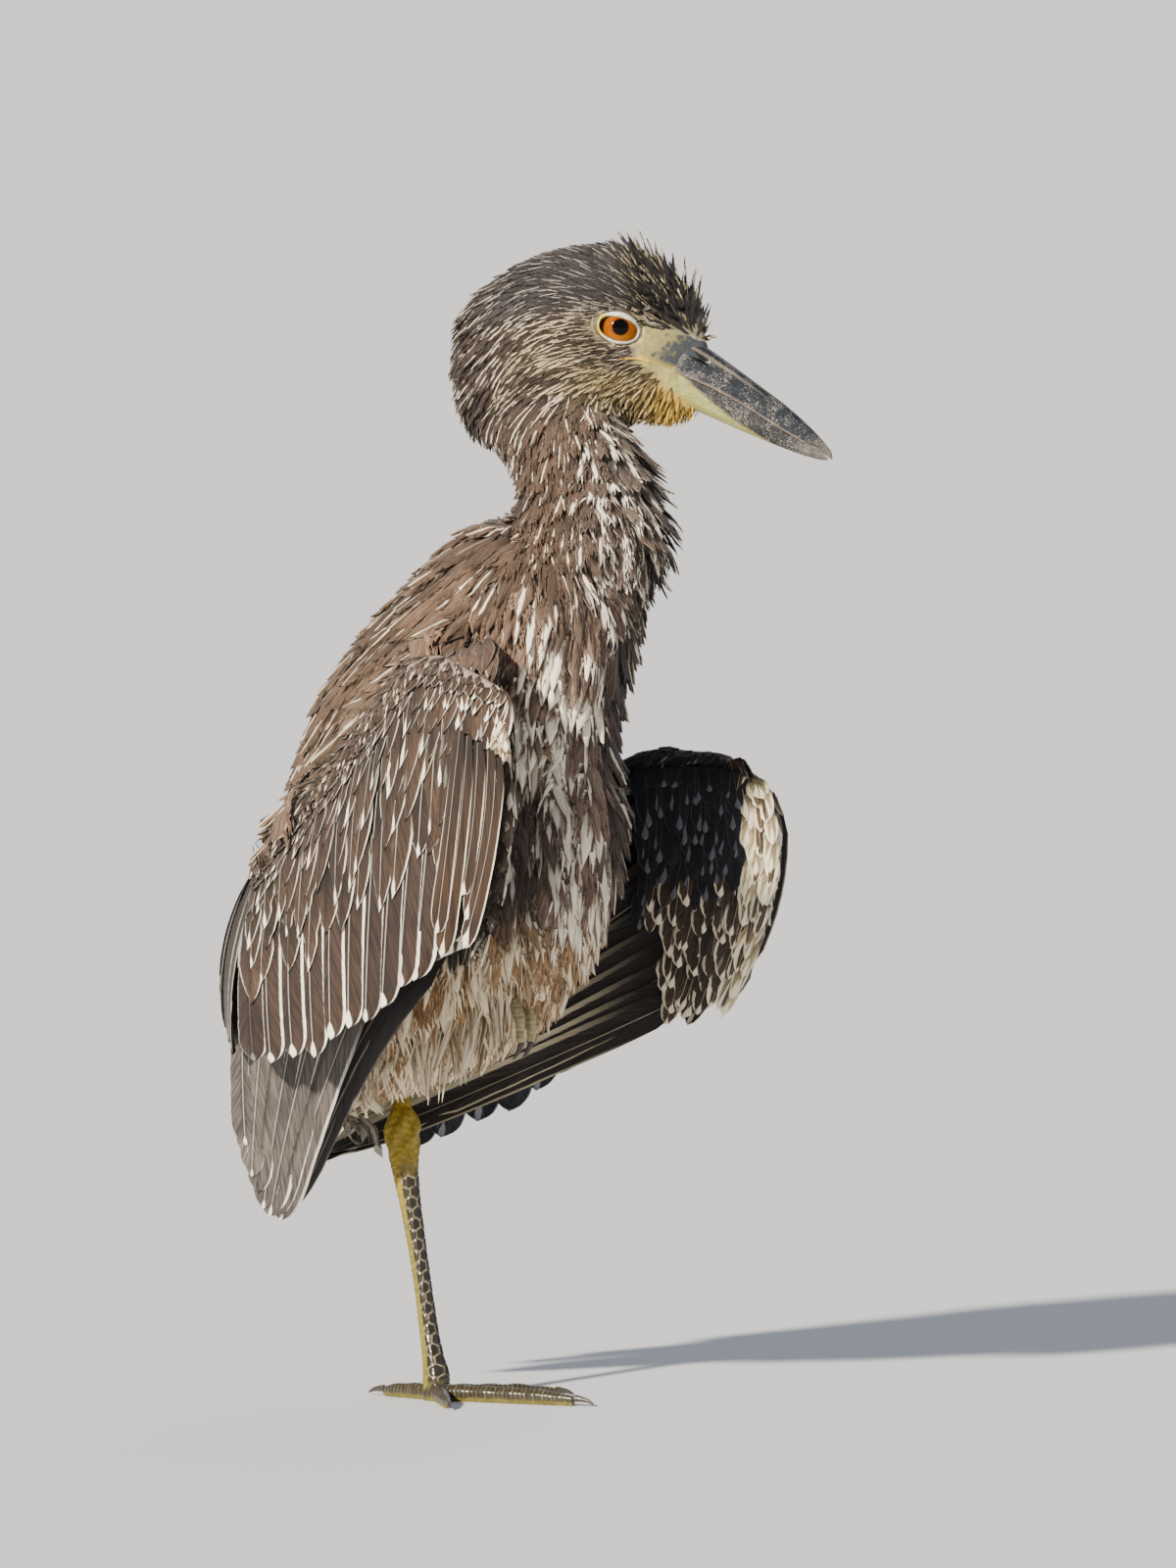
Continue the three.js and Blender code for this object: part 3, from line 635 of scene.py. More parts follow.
# The lids: a pale fleshy ring about each opening, rolled over the eyeball and tucked under the
# feathers. The gape is a narrow yellow lip that runs back from the corner of the bill.
EYE_RADIUS = (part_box("eye_right")[1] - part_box("eye_right")[0]).z / 2 / MM
EYE_SIDE = abs(in_head(np.array([eye_middle["eye_left"]]))[0, 1])
# Each row across the lid: how far out from the opening, as shares of the ring's width, and its rise
LID_PROFILE = [(-0.45, -0.9), (-0.05, 0.0), (0.15, 0.55), (0.5, 0.85), (0.85, 0.6), (1.1, 0.2),
               (2.0, -0.3), (3.2, -0.9)]
hide_surface = BVHTree.FromPolygons([Vector(p) for p in points], [list(f.vertices) for f in body.polygons])


def side_of_head(forward, up, side):
    """How far out the hide of the head lies at a place in its side view, in millimetres."""
    start = Vector(from_head([forward, side * 60, up]))
    way = Vector(directions_from_head([0, -side, 0]))
    hit = hide_surface.ray_cast(start, way)[0]
    return abs(in_head(np.array([hit]))[0, 1]) if hit else 0.0


def lid(side):
    """Rings of points about one eye, and their colours."""
    rings, colours = [], []
    turns = 56
    for out, rise in LID_PROFILE:
        for k in range(turns):
            angle = 2 * math.pi * k / turns
            high = math.sin(angle)
            reach = OPENING["upper"] if high > 0 else OPENING["lower"]
            flat = np.array([OPENING["half_length"] * math.cos(angle), reach * high * abs(high) ** -0.12
                             if high else 0.0])
            ring_width = 0.95 + (1.1 if high > 0 else 0.3) * abs(high)
            flat = flat + flat / np.linalg.norm(flat) * out * ring_width
            c, s = math.cos(OPENING["tilt"]), math.sin(OPENING["tilt"])
            forward, up = flat[0] * c - flat[1] * s, flat[0] * s + flat[1] * c
            gap = math.hypot(forward, up)
            ball = math.sqrt(max(EYE_RADIUS ** 2 - gap ** 2, 0)) + EYE_SIDE
            level = max(ball + rise, side_of_head(forward, up, side) + rise - 0.2, ball + min(out, 1) * 0.4)
            level = ball - 0.9 if out < -0.3 else level
            rings.append(from_head([forward, side * level, up]))
            yellow = step(-forward, 3, 7) * (1 - step(-up, 2, 5))
            dark = max(step(-out, -0.3, -0.02), step(out, 0.85, 1.1) * (1 - step(out, 1.6, 2.4)))
            skirt = layered("#55493c", ("#c4bd88", step(forward, 4, 8)))
            colours.append(layered("#dcd8c2", ("#d8c840", yellow), ("#17130f", dark * 0.92),
                                   (skirt, step(out, 1.3, 2.0)))[0])
    return rings, flipped(grid(len(LID_PROFILE) - 1, turns, True), side > 0), colours


GAPE = [(-1.0, -12.6), (3.0, -12.0), (8.0, -12.2), (12.5, -13.4), (17.0, -15.5), (22.0, -18.0)]


def gape(side):
    """A rounded lip along the corner of the mouth."""
    rings, colours = [], []
    around, steps = 8, 18
    for j in range(steps + 1):
        forward, up = on_line(GAPE, j / steps)[0]
        out = side_of_head(forward, up, side)
        thick = 0.6 * math.sin(math.pi * min(max(j / steps, 0.06), 0.9)) ** 0.5
        for k in range(around):
            angle = 2 * math.pi * k / around
            rings.append(from_head([forward, side * (out + 0.15 + thick * math.cos(angle)),
                                    up + thick * 0.9 * math.sin(angle)]))
            colours.append(layered("#d9a93a", ("#b7ac92", step(j / steps, 0.45, 1.0)))[0])
    return rings, flipped(grid(steps, around, True), side < 0), colours


def on_line(rows, t):
    """Smooth points between rows of numbers, at each t from 0, the first row, to 1, the last."""
    rows = np.asarray(rows, float)
    last = len(rows) - 1
    place = np.clip(np.atleast_1d(t) * last, 0, last - 1e-9)
    i = place.astype(int)
    f = (place - i)[:, None]
    a, b, c, d = (rows[np.clip(i + k, 0, last)] for k in (-1, 0, 1, 2))
    return 0.5 * (2 * b + (c - a) * f + (2 * a - 5 * b + 4 * c - d) * f * f
                  + (3 * b - 3 * c + d - a) * f ** 3)


# Behind the lids the hide sinks into a socket, so that only the globe shows in the opening
socket = step(1.3 - almond(ahead, above), 0, 0.3) * (from_eye < 12) * on_head
globe = EYE_SIDE + np.sqrt(np.maximum(EYE_RADIUS ** 2 - from_eye ** 2, 0))
sunk = in_head(points)
out = np.abs(sunk[:, 1])
in_socket = out * (1 - socket) + np.minimum(globe - 2.5, out) * socket
over_globe = (from_eye < EYE_RADIUS) * (socket == 0) * (on_head > 0.5)
out = np.where(socket > 0, in_socket, out)
out = np.where(over_globe, np.maximum(out, globe + 0.4), out)
sunk[:, 1] = np.sign(sunk[:, 1]) * out
points = np.where(((socket > 0) | over_globe)[:, None], from_head(sunk), points)
reshape(body, points)

# One mesh of all, with what the plumage and the finish need stored on its points
join = bmesh.new()
join.from_mesh(body)
join.from_mesh(legs)
fold_colours = []
for make in (lid, gape):
    for side in (-1, 1):
        rings, faces, colours = make(side)
        join.from_mesh(plain_mesh("fold", rings, faces))
        fold_colours += colours
skin_mesh = bpy.data.meshes.new("skin")
join.to_mesh(skin_mesh)
join.free()
feathered = len(points)
points, normals, edges = arrays_of(skin_mesh)


def store(mesh, name, kind, values, rest=0.0):
    """A named attribute on the first points of a mesh, with the rest of them at one value."""
    width = {"FLOAT": 1, "FLOAT_VECTOR": 3, "FLOAT_COLOR": 4}[kind]
    full = np.full((len(mesh.vertices), width), rest, np.float32)
    values = np.asarray(values, np.float32).reshape(-1, values.shape[1] if values.ndim > 1 else 1)
    full[:len(values), :values.shape[1]] = values
    if kind == "FLOAT_COLOR":
        full[:, 3] = 1
    layer = mesh.attributes.new(name, kind, "POINT")
    layer.data.foreach_set({1: "value", 3: "vector", 4: "color"}[width], full.ravel())


face_colour = np.tile(paint("#b8b48a")[:3], (feathered, 1))
under_coat = mixed(coat_values[:, GROUND:MARK], coat_values[:, MARK:SPOT], 0.2)
skin_colour = np.vstack([mixed(under_coat, face_colour, np.clip(bare * 1.4, 0, 1)), leg_colour,
                         np.array(fold_colours)])
on_leg = np.concatenate([np.zeros(feathered), np.ones(len(foot))])
for name, kind, values in (
        ("hide_colour", "FLOAT_COLOR", skin_colour),
        ("face", "FLOAT", bare),
        ("face_at", "FLOAT_VECTOR", np.stack([ahead, leftward, above], 1)),
        ("leg", "FLOAT", on_leg),
        ("gloss", "FLOAT", np.concatenate([np.zeros(feathered), np.maximum(horn, toe_horn)])),
        ("lie", "FLOAT_VECTOR", lie),
        ("outward", "FLOAT_VECTOR", normals),
        ("size", "FLOAT_VECTOR", coat_values[:, [LENGTH, WIDTH, LIFT]] * np.array([MM, MM, 1])),
        ("ground", "FLOAT_COLOR", coat_values[:, GROUND:MARK]),
        ("mark", "FLOAT_COLOR", coat_values[:, MARK:SPOT]),
        ("spot", "FLOAT_VECTOR", coat_values[:, SPOT:RIM]),
        ("rim", "FLOAT_VECTOR", coat_values[:, RIM:HUG]),
        ("hug", "FLOAT", coat_values[:, HUG])):
    store(skin_mesh, name, kind, values)
clothed = 1 - np.clip(bare * 1.3, 0, 1)
wing_bone = np.clip(on_forearm + on_hand, 0, 1)
near_bill = on_head * step(30 - from_eye, 0, 12) * (1 - forecrown)
belly = np.clip(on_trunk * low + vent + on_thigh, 0, 1)
REGIONS = {
    "head_feathers": on_head * (1 - near_bill) * clothed,
    "face_bristles": near_bill * clothed,
    "neck_feathers": on_neck,
    "body_feathers": (on_trunk + on_arm) * (1 - belly) * (1 - wing_bone),
    "belly_feathers": belly,
    "wing_edge_feathers": wing_bone,
}
for region, where in REGIONS.items():
    store(skin_mesh, region, "FLOAT", np.clip(where, 0, 1))

skin = show("skin", skin_mesh)
bpy.context.view_layer.objects.active = skin
skin.select_set(True)
bpy.ops.object.mode_set(mode="EDIT")
bpy.ops.mesh.select_all(action="SELECT")
bpy.ops.uv.smart_project(angle_limit=math.radians(66), island_margin=0.002)
bpy.ops.object.mode_set(mode="OBJECT")
skin_mesh.uv_layers[0].name = "OFBake"
skin_mesh.shade_smooth()


hide_finish, tree, shader = finish_of("hide")
pores = put(tree, "ShaderNodeTexVoronoi", {
    "Vector": object_place(tree), "Scale": 2600.0 - attribute(tree, "leg", "Fac") * 1700.0})
mottle = noise(object_place(tree), 420.0, 5.0)
ahead_of_eye, _, above_eye = split(attribute(tree, "face_at", "Vector"))
slaty = ramp(ahead_of_eye - above_eye + (mottle - 0.5) * 34.0, 20.0, 32.0)
mouth = above_eye + (ahead_of_eye - 6.0) * 0.36
face = blend_colour(slaty, paint("#99915a"), paint("#34393e"))
face = blend_colour(ramp(mouth, -8.0, -11.0) * 0.5, face, paint("#c9b94e"))
face = blend_colour(ramp(mouth, -12.2, -11.4), paint("#a09b58"), face)
face = blend_colour(ramp(attribute(tree, "face", "Fac"), 0.25, 0.5), attribute(tree, "hide_colour"), face)
blotches = blend_colour(ramp(mottle, 0.3, 0.7), (0.74, 0.72, 0.7, 1), (1.2, 1.18, 1.15, 1))
feed(shader, {
    "Base Color": blend_colour(1.0, face, blotches, "MULTIPLY"),
    "Roughness": ramp(attribute(tree, "gloss", "Fac"), 0, 1, 0.55, 0.24),
    "Normal": bumps(pores, 0.35, 0.2),
    "Specular IOR Level": 0.5,
})
skin_mesh.materials.append(hide_finish)

# ------------------------------------------------------------
# The plumage of the body: thousands of small feathers rooted in the skin. Each is a thin cupped vane
# with loose barbs along its margins, and lies back over those behind it like a roof tile.
SHAFT_RIDGE = 0.16


def add_strip(book, spine, half_width):
    """A narrow tapering barb along a line of (across, along) places."""
    first = len(book["points"])
    count = len(spine)
    for k, (across, down) in enumerate(spine):
        width = half_width * (1 - k / (count - 1)) + 0.002
        book["points"] += [(across - width, down, 0), (across + width, down, 0)]
        book["vanes"] += [(np.clip(across * 2, -1, 1), min(down, 1), 0)] * 2
    book["faces"] += [tuple(first + corner for corner in face) for face in grid(count - 1, 2)]


def feather_shape(name, seed, columns, rows, fullest, point, barbs, ragged):
    """A feather of length 1 and width 1, its root at the origin and its tip along +Y."""
    draw = np.random.default_rng(seed)
    book = {"points": [], "faces": [], "vanes": []}

    def half(down):
        widen = min(1, (down / fullest) ** 0.7) if fullest else 1
        return 0.5 * widen * max(0, 1 - down ** point) ** 0.62

    for j in range(rows + 1):
        down = j / rows
        for i in range(columns + 1):
            across = 2 * i / columns - 1
            edge = abs(across) > 0.99
            width = max(half(down), 0.03) * (1 - ragged * draw.random() if edge else 1)
            sweep = 0.05 * (1 - abs(across)) if j == rows else 0
            slip = draw.uniform(-0.3, 0.3) / rows if edge and 0 < j < rows else 0
            book["points"].append((across * width, down + sweep + slip, 0))
            book["vanes"].append((across, min(down + sweep, 1), 0))
    book["faces"] += grid(rows, columns + 1)
    for k in range(barbs):
        side = 1 if k % 2 else -1
        down = draw.uniform(0.35, 0.93)
        reach = draw.uniform(0.12, 0.24)
        root = side * half(down) * 0.8
        away = side * draw.uniform(0.05, 0.16)
        add_strip(book, [(root, down - 0.04), (root + away * 0.6, down + reach * 0.5),
                         (root + away, down + reach)], draw.uniform(0.025, 0.05))
    return feather_object(name, book)


def down_shape(name, seed, barbs, spread_out):
    """A loose tuft: long soft barbs that fan from one root."""
    draw = np.random.default_rng(seed)
    book = {"points": [], "faces": [], "vanes": []}
    for k in range(barbs):
        lean = (2 * (k + 0.5) / barbs - 1) * spread_out + draw.uniform(-0.06, 0.06)
        reach = draw.uniform(0.7, 1.05) * (1 - 0.25 * abs(lean))
        bend = draw.uniform(-0.12, 0.12)
        spine = [(lean * t + bend * t * t, reach * t) for t in (0, 0.3, 0.6, 0.85, 1)]
        add_strip(book, spine, draw.uniform(0.05, 0.09))
    return feather_object(name, book)


def feather_object(name, book):
    mesh = plain_mesh(name, book["points"], book["faces"])
    mesh.attributes.new("vane", "FLOAT_VECTOR", "POINT").data.foreach_set(
        "vector", np.array(book["vanes"], np.float32).ravel())
    return bpy.data.objects.new(name, mesh)


def feather_set(name, shapes):
    """A collection that a coat picks its feathers from. It isn't linked to the scene."""
    group = bpy.data.collections.new(name)
    for shape in shapes:
        group.objects.link(shape)
    return group


def plume_finish(name, barb_pitch, barb_slope, roughness, middle, tone, patchy, flare=0.75, inner=1.0):
    """Vane with a marked tip, pale rims, a shaft line and fine slanting barbs, and painted shade towards its
    root, where the feathers over it hide it. Feathers differ by tone about the middle brightness, and by
    patchy from place to place. The mark widens to the tip by the power flare, and inner is how dark the vane
    is beside its shaft, a painted shade where the edge of the neighbour lies over it."""
    material, tree, shader = finish_of(name)
    across, down, _ = split(attribute(tree, "vane", "Vector"))
    offside = abs(across)
    chance = attribute(tree, "chance", "Fac")
    second_chance, third_chance = (maths("FRACT", chance * spin) for spin in (7.31, 23.7))
    barbs = noise(vector_of(across * 1.2, (down - offside * barb_slope) * barb_pitch, chance * 57.0),
                  1.0, 3.0, 0.65)
    wobble = (barbs - 0.5) * 0.35

    spot_length, spot_width, spot_share = split(attribute(tree, "spot", "Vector"))
    reach = spot_length * ramp(third_chance, 0, 1, 0.75, 1.1)
    rise = maths("MAXIMUM", (down - (1.0 - reach)) / reach, 0.0) ** flare
    wide = spot_width * rise * ramp(second_chance, 0, 1, 1.25, 0.7)
    spotted = ramp(wide + wobble * rise - offside, -0.06, 0.06) * ramp(
        spot_share - second_chance, -0.05, 0.08)

    rim_outer, rim_inner, rim_share = split(attribute(tree, "rim", "Vector"))
    outer = ramp(across, -0.01, 0.01)
    rim_in = outer * rim_outer + (1.0 - outer) * rim_inner + wobble * 0.25 - (1.0 - offside)
    rimmed = ramp(rim_in, -0.04, 0.04) * (rim_share * ramp(third_chance, 0, 1, 0.6, 1.0))
    rimmed = rimmed * ramp(down, 0.15, 0.5)

    patches = noise(object_place(tree), 55.0, 2.0)
    shade = ramp(chance, 0, 1, middle - tone, middle + tone) + ramp(patches, 0.3, 0.7, -patchy, patchy)
    # Painted shade: the vane darkens beside its shaft by inner, where the edge of the neighbour lies over it
    shade = shade * ramp(barbs, 0.36, 0.64, 0.5, 1.5) * ramp(offside, 0.0, 0.3, inner, 1.0)
    shaft = ramp(offside, 0.03, 0.06, 0.35, 0.0) * ramp(down, 0.6, 1, 1, 0)
    # Painted shade towards the root, where the feathers over it hide it
    shade = shade * ramp(down, 0.05, 0.65, 0.4, 1.0) * (1.0 - shaft)
    toned = []
    for layer, share in (("ground", shade), ("mark", ramp(barbs, 0.3, 0.7, 0.75, 1.0))):
        grey = put(tree, "ShaderNodeCombineColor", {0: share, 1: share, 2: share})
        toned.append(blend_colour(1.0, attribute(tree, layer), grey, "MULTIPLY"))
    feed(shader, {
        "Base Color": blend_colour(maths("MAXIMUM", spotted, rimmed), *toned),
        "Normal": bumps(barbs, 0.7, 0.3),
        "Roughness": roughness,
        "Specular IOR Level": 0.25,
        "Sheen Weight": 0.12,
        "Sheen Roughness": 0.5,
    })
    return material


body_plume = plume_finish("body_plume", 22.0, 0.5, 0.78, 0.68, 0.24, 0.12)
head_plume = plume_finish("head_plume", 9.0, 0.4, 0.72, 0.5, 0.18, 0.07)


PATCH = 0.0015  # half the width of a feather's patch on the baked map


def plumage_tree():
    """Feathers rooted over the part of the skin where a region attribute is set."""
    tree = bpy.data.node_groups.new("plumage", "GeometryNodeTree")
    for name, kind in (("Skin", "Geometry"), ("Region", "String"), ("Feathers", "Collection"),
                       ("Spacing", "Float"), ("Roof rise", "Float"), ("Ruffle", "Float"), ("Seed", "Int"),
                       ("Finish", "Material"), ("Plumage", "Geometry")):
        tree.interface.new_socket(name, in_out="OUTPUT" if name == "Plumage" else "INPUT",
                                  socket_type=f"NodeSocket{kind}")
    given = {out.name: Flow(out) for out in put(tree, "NodeGroupInput").socket.node.outputs if out.name}
    bed = given["Skin"]

    def read(name, kind="FLOAT_VECTOR"):
        return put(tree, "GeometryNodeInputNamedAttribute", {"Name": name}, data_type=kind)

    def keep(geometry, name, value, kind="FLOAT", domain="POINT"):
        return put(tree, "GeometryNodeStoreNamedAttribute", {
            "Geometry": geometry, "Name": name, "Value": value}, data_type=kind, domain=domain)

    def plus_scaled(start, way, share):
        """A vector with so much of another added to it."""
        part = put(tree, "ShaderNodeVectorMath", {0: way, 3: share}, operation="SCALE")
        return put(tree, "ShaderNodeVectorMath", {0: start, 1: part}, operation="ADD")

    def draw(low, high, offset, kind="FLOAT"):
        first, out = {"FLOAT_VECTOR": (0, 0), "FLOAT": (2, 1), "INT": (4, 2)}[kind]
        feeds = {first: low, first + 1: high, 8: given["Seed"] + offset}
        return put(tree, "FunctionNodeRandomValue", feeds, out, data_type=kind)

    roots = put(tree, "GeometryNodeDistributePointsOnFaces", {
        "Mesh": bed, "Distance Min": given["Spacing"], "Density Max": 2.0 / given["Spacing"] ** 2.0,
        "Density Factor": read(given["Region"], "FLOAT"), "Seed": given["Seed"]},
        distribute_method="POISSON")
    roots = keep(roots, "root_uv", read("OFBake"), "FLOAT_VECTOR")
    roots = keep(roots, "chance", draw(0.0, 1.0, 3))
    roots = keep(roots, "jitter", draw(0.0, 1.0, 4))
    ruffle = draw((-1, -1, -1), (1, 1, 1), 5, "FLOAT_VECTOR")
    turn = put(tree, "FunctionNodeAxesToRotation", {
        "Primary Axis": read("outward"),
        "Secondary Axis": plus_scaled(read("lie"), ruffle, given["Ruffle"])},
        primary_axis="Z", secondary_axis="Y")
    length, width, lift = split(read("size"))
    kinds = put(tree, "GeometryNodeCollectionInfo", {
        "Collection": given["Feathers"], "Separate Children": True, "Reset Children": True})
    placed = put(tree, "GeometryNodeInstanceOnPoints", {
        "Points": roots, "Instance": kinds, "Pick Instance": True, "Rotation": turn,
        "Instance Index": draw(0, 2, 8, "INT"),
        "Scale": vector_of(width * draw(0.85, 1.15, 6), length * draw(0.8, 1.15, 7), length)})
    loose = put(tree, "GeometryNodeRealizeInstances", {"Geometry": placed})

    # Lay each vane on the skin, rising from root to tip, ridged along its shaft and lifted at its tip
    across, down, _ = split(read("vane"))
    here = put(tree, "GeometryNodeInputPosition")
    foot_of = put(tree, "GeometryNodeProximity", {0: bed, 2: here}, target_element="FACES")
    outward = put(tree, "GeometryNodeSampleNearestSurface", {0: bed, 1: read("outward"), 3: here},
                  data_type="FLOAT_VECTOR")
    level = (down + -0.12) * given["Roof rise"]
    ridge = (1.0 - across * across) * (width * SHAFT_RIDGE)
    swing = across * (read("jitter", "FLOAT") - 0.5) * (width * 0.22)
    lifted = down ** 2.0 * lift * (length * (read("chance", "FLOAT") + 0.35))
    follow = put(tree, "ShaderNodeMix", {1: (1, 1, 1), 4: here, 5: foot_of, 0: read("hug", "FLOAT")}, 1,
                 data_type="VECTOR", factor_mode="UNIFORM")
    final = plus_scaled(follow, outward, level + ridge + (swing + lifted))
    laid = put(tree, "GeometryNodeSetPosition", {"Geometry": loose, "Position": final})

    # A patch of the baked map for each feather, at its root's place on the unwrapped skin
    laid = keep(laid, "OFBake", plus_scaled(read("root_uv"), read("vane"), PATCH), "FLOAT2", "CORNER")
    smooth = put(tree, "GeometryNodeSetShadeSmooth", {"Geometry": laid})
    done = put(tree, "GeometryNodeSetMaterial", {"Geometry": smooth, "Material": given["Finish"]})
    put(tree, "NodeGroupOutput", {0: done})
    return tree


PLUMAGE = plumage_tree()
NOT_KEPT = ("lie", "outward", "size", "hug", "root_uv", "jitter", "hide_colour", "face", "face_at",
            "leg", "gloss", *REGIONS)


def settle(piece, slot, *nodes):
    """Puts a piece on the one body, in place of the solids it stands for. The slot is not used."""
    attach(piece, "root")
    if nodes:
        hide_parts(*nodes)


def fill_map(mesh):
    """Stretches a coat's own patches to fill its baked map."""
    places = np.empty(2 * len(mesh.loops), np.float32)
    layer = mesh.uv_layers["OFBake"]
    layer.data.foreach_get("uv", places)
    places = places.reshape(-1, 2)
    low, high = places.min(0), places.max(0)
    layer.data.foreach_set("uv", ((places - low) / (high - low) * 0.99 + 0.005).ravel())


def grow(region, feathers, spacing, rise, ruffle, seed, finish):
    """One region's plumage as a plain mesh."""
    piece = show(region, skin_mesh)
    modifier = piece.modifiers.new("plumage", "NODES")
    modifier.node_group = PLUMAGE
    values = {"Region": region, "Feathers": feathers, "Spacing": spacing * MM, "Roof rise": rise * MM,
              "Ruffle": ruffle, "Seed": seed, "Finish": finish}
    for item in PLUMAGE.interface.items_tree:
        if item.name in values:
            modifier[item.identifier] = values[item.name]
    graph = bpy.context.evaluated_depsgraph_get()
    mesh = bpy.data.meshes.new_from_object(piece.evaluated_get(graph))
    piece.modifiers.clear()
    piece.data = mesh
    mesh.name = region
    for name in NOT_KEPT:
        if name in mesh.attributes:
            mesh.attributes.remove(mesh.attributes[name])
    fill_map(mesh)
    return piece


# For each coat, the feathers it picks from: name, seed, columns, rows, where the vane is fullest, how
# pointed its tip is, how many barbs stand free of it and how ragged its edge is. Then the spacing of
# the roots and the rise of the roof they make, in millimetres, the ruffle, the finish and the slot.
COATS = {
    "head_feathers": (("short", 11, 2, 5, 0.35, 2.2, 5, 0.2), 1.55, 1.3, 0.16, head_plume, "crown_feather"),
    "face_bristles": (("bristle", 21, 2, 4, 0.3, 1.6, 3, 0.2), 1.0, 0.7, 0.2, head_plume, "crown_feather"),
    "neck_feathers": (("neck", 31, 2, 6, 0.4, 2.4, 18, 0.4), 2.5, 2.4, 0.3, body_plume, "body_feather"),
    "body_feathers": (("body", 41, 4, 7, 0.4, 3.0, 15, 0.42), 4.4, 3.2, 0.16, body_plume, "body_feather"),
    "belly_feathers": (("fluff", 51, 3, 6, 0.35, 2.2, 14, 0.5), 3.0, 3.6, 0.3, body_plume, "body_feather"),
    "wing_edge_feathers": (("tile", 61, 4, 5, 0.3, 3.4, 2, 0.1), 2.2, 1.2, 0.18, body_plume,
                           "body_feather"),
}
for seed, (region, (pattern, spacing, rise, ruffle, finish, slot)) in enumerate(COATS.items(), 1):
    name, first_seed, *form = pattern
    downy = name == "fluff"
    shapes = [feather_shape(f"{name}_{k}", first_seed + k, *form) for k in range(3 - downy)]
    if downy:
        shapes.append(down_shape("fluff_down", 53, 9, 0.42))
    settle(grow(region, feather_set(region, shapes), spacing, rise, ruffle, seed, finish), slot)
settle(skin, "body_feather", *FLESH, *LEGS)

# ------------------------------------------------------------
# The wings and tail: flight feathers and their coverts, each a thin closed vane of its own with a
# raised shaft. They hang from forearm and hand in rows, every row lying over the roots of the next,
# and each feather's outer edge lies over its neighbour on the upper side.
# The lines of a wing are rows of x, distance from the middle of the body, and z, in millimetres.
WINGS = {
    "right": {
        "side": -1,
        "forearm": [[82.5, 97.5, 284], [62, 97, 291], [43.5, 94, 292], [13, 84, 262],
                    [-16, 76.5, 233.5], [-40, 71, 208]],
        "secondary_tips": [[62.5, 93.5, 186.5], [46, 98, 174.5], [23, 96.5, 156.5],
                           [-4.5, 90.5, 141.5], [-36.5, 81.5, 136.5]],
        "primary": ([[60, 90, 230], [62, 90, 210], [50, 84, 184]],
                    [[-20, 68, 170], [-6, 68, 160], [-2, 64, 150]],
                    [[-60, 30, 78], [-58, 26, 73], [-55, 22, 72]]),
        "silver": ([[-47, 68, 178], [-20, 74, 180], [16, 80, 178]],
                   [[-61, 44, 103], [-62, 36, 86], [-60, 28.5, 74], [-57, 24, 71]]),
        "hand": ([[88, 114, 260], [80, 112, 266], [70, 107, 270]],
                 [[99, 128, 236], [86, 121, 232], [70, 115, 228]],
                 [[69, 104, 186], [62, 102, 185], [54, 101, 180]]),
        "tertial_shift": (0, 0, 0),
        "palm_shift": (-8, 0, 30),
        "edge_rise": 1,
        "fringed": True,
    },
    "left": {
        "side": 1,
        "forearm": [[82.5, 97.5, 250], [62, 97, 249], [43.5, 94, 247], [13, 84, 226],
                    [-16, 76.5, 196], [-42, 69, 168]],
        "secondary_tips": [[66, 94, 160], [46, 97, 144], [18, 92, 129], [-12, 82, 108], [-48, 66, 92]],
        "primary": ([[77, 94, 224], [78, 95, 190], [68, 87, 157]],
                    [[-26, 62, 150], [0, 66, 140], [10, 66, 128]],
                    [[-58, 42, 104], [-65, 34, 95], [-70, 27, 89], [-73, 22, 87]]),
        "silver": ([[-40, 66, 130], [-14, 74, 138], [20, 82, 146]],
                   [[-58, 48, 106], [-64, 38, 98], [-69, 31, 92], [-72, 26, 89]]),
        "hand": ([[89, 112, 236], [83, 108, 240], [73, 104, 242]],
                 [[96, 122, 200], [86, 118, 196], [74, 114, 190]],
                 [[72, 104, 152], [62, 102, 146], [54, 101, 143]]),
        "tertial_shift": (0, 0, -40),
        "palm_shift": (0, 0, 0),
        "edge_rise": 0.4,
        "fringed": False,
    },
}
# How far the hanging feathers belly forwards and outwards, from the wrist to the elbow. Then the lines
# of the other sheets, each as its root, middle and tip.
WING_BOW = [[22, 21, 0], [9, 15, 0], [2, 12, 0], [0, 12, 0], [0, 12, 0]]
TERTIALS = (
    [[-34, 60, 226], [-42, 52, 218], [-48, 42, 212]],
    [[-58, 72, 184], [-70, 60, 182], [-74, 44, 182]],
    [[-52, 68, 139], [-60, 52, 138], [-63, 38, 148]],
)
TAIL = (
    [[-40, -15, 168], [-43, 0, 170], [-40, 15, 168]],
    [[-62, -18, 126], [-66, 0, 126], [-62, 18, 126]],
    [[-71, -15, 86], [-74, 0, 81], [-71, 15, 86]],
)


def hanging(root, middle, tip):
    """A curved sheet that feathers hang in: s runs along the root line and t from root to tip."""
    def place(s, t):
        t = np.atleast_1d(t)[:, None]
        return (on_line(root, s) * (1 - t) ** 2 + 2 * t * (1 - t) * on_line(middle, s)
                + on_line(tip, s) * t * t)
    return place


def new_book(draw):
    """An empty piece that vanes are laid in, with the random numbers that tell them apart."""
    lists = ("points", "faces", "vane", "ground", "mark", "spot", "rim", "chance", "corners")
    return {"draw": draw, "cells": 0, **{name: [] for name in lists}}


def quill(down, root, fullest, point, taper=2.2, sharp=0.5):
    """How wide a flight feather is along its length, as a share of its greatest width."""
    opening = root + (1 - root) * step(down, 0.0, fullest)
    closing = np.maximum(1 - np.maximum((down - point) / (1 - point), 0) ** taper, 0) ** sharp
    return opening * closing


